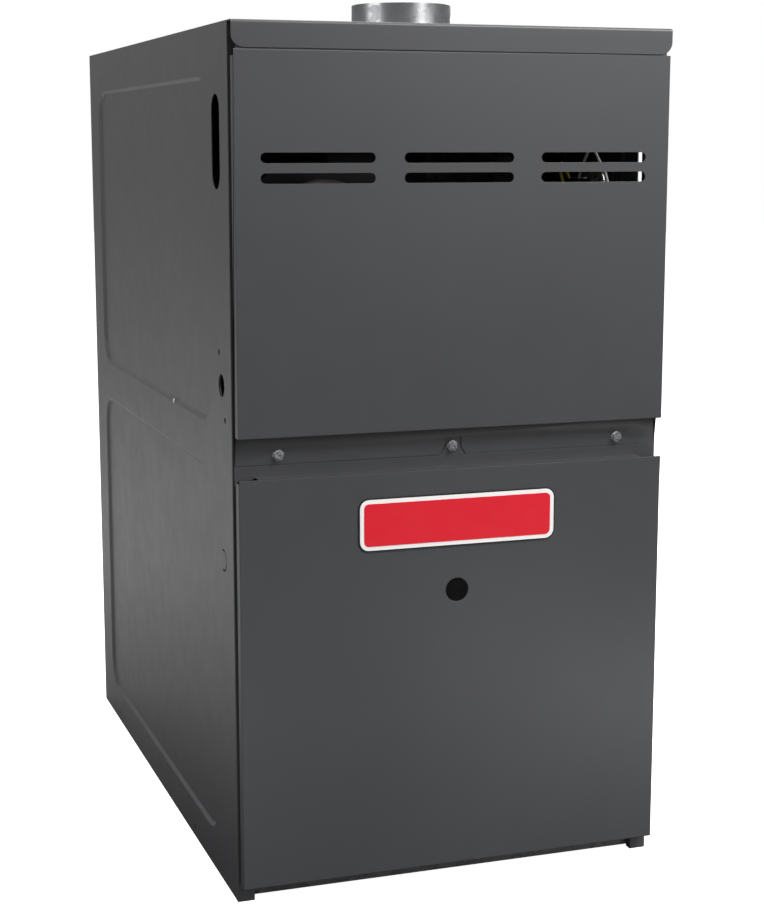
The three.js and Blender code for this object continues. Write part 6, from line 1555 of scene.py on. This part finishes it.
@dataclass
class BlowerAssembly:
    """The blower: housing, bladed wheel, shaft, motor, mount and capacitor."""

    shop: Workshop
    blades: int = 44
    blade_depth: float = 17.0
    blade_thickness: float = 0.9
    blade_lean: float = 0.16
    rim_width: float = 6.0
    disc_place: float = -12.0
    disc_sheet: float = 1.4
    disc_lap: float = 5.0
    hub_radius: float = 16.0
    hub_reach: Point = (-30.0, 8.0)
    bore_play: float = 0.3
    blade_inset: float = 1.5
    blade_gap: float = 1.2
    blade_steps: int = 5
    bell_radius: float = 28.5
    band: float = 0.8
    vents: int = 18
    vent: Point = (38.0, 14.0, 3.6)
    vent_corner: float = 1.7
    vent_place: Point = (9.2, 7.2)

    def blade_line(self, start: float, side: int, inner: float, radius: float, middle: Vector) -> list[Point]:
        """One face of a blade, seen along the shaft.

        Args:
            start: the blade's angle at its root.
            side: -1 or 1, for the blade's two faces.
            inner: the radius at its root.
            radius: the wheel's radius.
            middle: the wheel's middle.

        Returns:
            The line's points, from the root out.
        """
        line = []
        offset = side * self.blade_thickness / 2
        for step in range(self.blade_steps + 1):
            share = step / self.blade_steps
            reach = inner + (radius - self.blade_gap - inner) * share
            angle = start + self.blade_lean * share * share
            square = angle + math.pi / 2
            line.append((middle.y + reach * math.cos(angle) + offset * math.cos(square),
                         middle.z + reach * math.sin(angle) + offset * math.sin(square)))
        return line

    def wheel(self) -> None:
        """Builds the wheel: two rims, a disc and a hub, and curved blades between the rims."""
        low, high = self.shop.box("blower_wheel")
        shaft_low, shaft_high = self.shop.box("blower_shaft")
        middle = (low + high) / 2
        place = (0.0, middle.y, middle.z)
        radius, half, rim = (high.z - low.z) / 2, (high.x - low.x) / 2, self.rim_width
        bore = (shaft_high.z - shaft_low.z) / 2 + self.bore_play
        inner, disc = radius - self.blade_depth, self.disc_place
        form = Form()
        rings = [(inner - 1, half), (inner + 1.5, half - 0.8), (radius, half), (radius, half - rim),
                 (radius - 1, half - rim), (radius - 1, half - 1.2), (inner + 1, half - 2.0),
                 (inner - 1, half - 1.0)]
        for side in (-1, 1):
            form.turned([(r, side * along) for r, along in rings], Axis.X, place, 96)
        hub = (self.hub_radius, disc + self.hub_reach[0], disc + self.hub_reach[1], 48)
        for outer, back, front, sides in (hub, (inner + self.disc_lap, disc, disc + self.disc_sheet, 96)):
            form.turned([(bore, back), (outer, back), (outer, front), (bore, front)], Axis.X, place, sides)
        for i in range(self.blades):
            start = 2 * math.pi * i / self.blades
            back, front = (self.blade_line(start, side, inner, radius, middle) for side in (-1, 1))
            form.prism(back + front[::-1], Axis.X, self.blade_inset - half, half - self.blade_inset)
        self.shop.shaped(form, "blower_wheel_bladed", "blower_wheel", Finish.GALVANISED)

    def motor(self) -> None:
        """Turns the motor's shell and sets black slots into its outer bell, painted shade that stands for the
        vents' dark openings.
        """
        low, high = self.shop.box("blower_motor")
        middle = self.shop.middle("blower_shaft")
        radius, end, bell = (high.z - low.z) / 2, high.x - low.x, self.bell_radius
        body = radius - self.band
        half = [(0.0, 0.0), (bell - 4.5, 0.0), (bell - 1.5, 2.0), (bell, 6.0), (radius - 16, 8.6),
                (radius - 8, 12.0), (radius - 2.4, 16.5), (body, 20.0), (body, 30.0), (radius, 30.6)]
        profile = half + [(r, end - along) for r, along in reversed(half)]
        form = Form().turned(profile, Axis.X, (low.x, middle.y, middle.z), 72)
        # Painted shade: the vents are solid black slots standing for the shade inside their openings.
        form.in_colour(1)
        ring, length, width = self.vent
        back, front = self.vent_place
        for i in range(self.vents):
            turn = Matrix.Rotation(2 * math.pi * i / self.vents, 4, "X")
            outline = rounded(ring, 0.0, length, width, self.vent_corner, 4)
            slot = Form().prism(outline, Axis.X, high.x - back, high.x - front)
            slot.moved(Matrix.Translation((0.0, middle.y, middle.z)) @ turn)
            form.add(slot)
        self.shop.shaped(form, "blower_motor_shell", "blower_motor", Finish.BLACK_ENAMEL,
                         Finish.BLACK_PLASTIC)

    def build(self) -> None:
        """Builds the blower."""
        self.shop.refined("blower_housing", Finish.GALVANISED)
        self.wheel()
        self.shop.round_bar("blower_shaft", "blower_shaft_ground", Axis.X, Finish.GROUND_STEEL, 36, 0.6)
        self.motor()
        self.shop.refined("motor_mount", Finish.GALVANISED)
        self.shop.refined("capacitor", Finish.DRAWN_CAN, SMALL)


@dataclass(frozen=True)
class Block:
    """A block on the board: its width, its height, how deep it stands off the board, and its bevel."""

    width: float
    height: float
    depth: float
    edge: float


@dataclass
class ControlCompartment:
    """The control panel behind the lower door: board, transformer and door switch."""

    shop: Workshop
    board_thickness: float = 1.6
    board_edge: float = 0.3
    standoff: float = 8.0
    standoff_radius: float = 3.0
    screw_inset: float = 6.0
    screw_size: float = 2.2
    relay: Block = Block(24.0, 28.0, 17.0, 0.7)
    relays: int = 3
    relay_pitch: float = 30.0
    harness_socket: Block = Block(22.0, 60.0, 11.0, 0.6)
    chip: Block = Block(26.0, 14.0, 5.0, 0.4)
    spade: Block = Block(7.0, 12.0, 10.0, 0.4)
    spades: int = 6
    spade_pitch: float = 10.0
    wire_block: Block = Block(34.0, 12.0, 12.0, 0.5)
    cans: int = 5
    can_radius: float = 3.4
    can_height: float = 9.0
    can_pitch: float = 13.0
    can_edge: float = 0.5
    resistors: int = 22
    resistor_lengths: Point = (2.0, 3.2)
    resistor_size: Point = (0.9, 1.6)
    resistor_edge: float = 0.15

    def board(self) -> None:
        """Builds the control board with its parts."""
        low, high = self.shop.box("control_board")
        back = high.y - self.standoff
        face = back - self.board_thickness
        left, right, foot, head = low.x, high.x, low.z, high.z
        form = Form().box((left, face, foot), (right, back, head), self.board_edge)

        def place(block: Block, x: float, z: float) -> None:
            """Sets a block on the board with its lower left corner at x and z."""
            form.box((x, face - block.depth, z), (x + block.width, face, z + block.height), block.edge)

        form.in_colour(1)
        for i in range(self.relays):
            place(self.relay, left + 12 + i * self.relay_pitch, head - 40)
        place(self.harness_socket, right - 34, foot + 16)
        place(self.chip, left + 40, foot + 70)
        form.in_colour(2)
        for i in range(self.spades):
            place(self.spade, left + 14 + i * self.spade_pitch, foot + 8)
        place(self.wire_block, left + 90, foot + 96)
        form.in_colour(3)
        inset = self.screw_inset
        for x in (left + inset, right - inset):
            for z in (foot + inset, head - inset):
                form.bar(Axis.Y, self.standoff_radius, back - self.board_edge, high.y, (z, x), 18)
                form.hex_screw(Axis.Y, face, (z, x), -1, self.screw_size)
        for i in range(self.cans):
            centre = (foot + 46 + (i % 2) * 9, left + 22 + i * self.can_pitch)
            form.bar(Axis.Y, self.can_radius, face - self.can_height, face, centre, 24, self.can_edge)
        rng = random.Random(7)
        form.in_colour(1)
        depth, width = self.resistor_size
        for _ in range(self.resistors):
            x, z = rng.uniform(left + 14, right - 48), rng.uniform(foot + 28, foot + 88)
            end = x + rng.choice(self.resistor_lengths)
            form.box((x, face - depth, z), (end, face, z + width), self.resistor_edge)
        self.shop.shaped(form, "control_board_parts", "control_board", Finish.GREEN_BOARD,
                         Finish.BLACK_PLASTIC, Finish.WHITE_PLASTIC, Finish.BRIGHT_ZINC)

    def plunger(self) -> None:
        """Turns the door switch's plunger with its rounded nose."""
        low, high = self.shop.box("door_switch_plunger")
        middle, r = (low + high) / 2, (high.x - low.x) / 2
        profile = [(0.0, low.y), (r * 0.5, low.y), (r * 0.85, low.y + 0.5), (r, low.y + 1.4),
                   (r, high.y), (0.0, high.y)]
        form = Form().turned(profile, Axis.Y, (middle.x, 0.0, middle.z), 28)
        self.shop.shaped(form, "door_switch_plunger_turned", "door_switch_plunger", Finish.WHITE_PLASTIC)

    def build(self) -> None:
        """Builds the control compartment."""
        self.shop.refined("control_bracket", Finish.GALVANISED)
        self.board()
        self.shop.refined("transformer", Finish.CORE_STEEL, SMALL)
        self.shop.refined("door_switch_body", Finish.BLACK_PLASTIC, SMALL)
        self.plunger()


# ---------------------------------------------------------------- the whole


def corners(bounds: tuple[Vector, Vector]) -> list[list[float]]:
    """A box's two corners as plain lists."""
    return [list(corner) for corner in bounds]


def main() -> None:
    """Builds the studio and every sub-assembly in order."""
    logging.basicConfig(level=logging.INFO, format="%(name)s: %(message)s", stream=sys.stdout)
    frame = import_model()
    shop = Workshop(frame)
    for assembly in (Cabinet(shop), Doors(shop), HeatExchanger(shop), InducedDraft(shop), GasTrain(shop),
                     SafetyControls(shop), BlowerAssembly(shop), ControlCompartment(shop)):
        LOG.info("building %s", type(assembly).__name__)
        assembly.build()
    Studio().build()
    left = sorted(name for name, node in shop.nodes.items() if not node.hide_render)
    LOG.info("nodes shown as they came: %s", ", ".join(left) or "none")


if __name__ == "__main__":
    main()
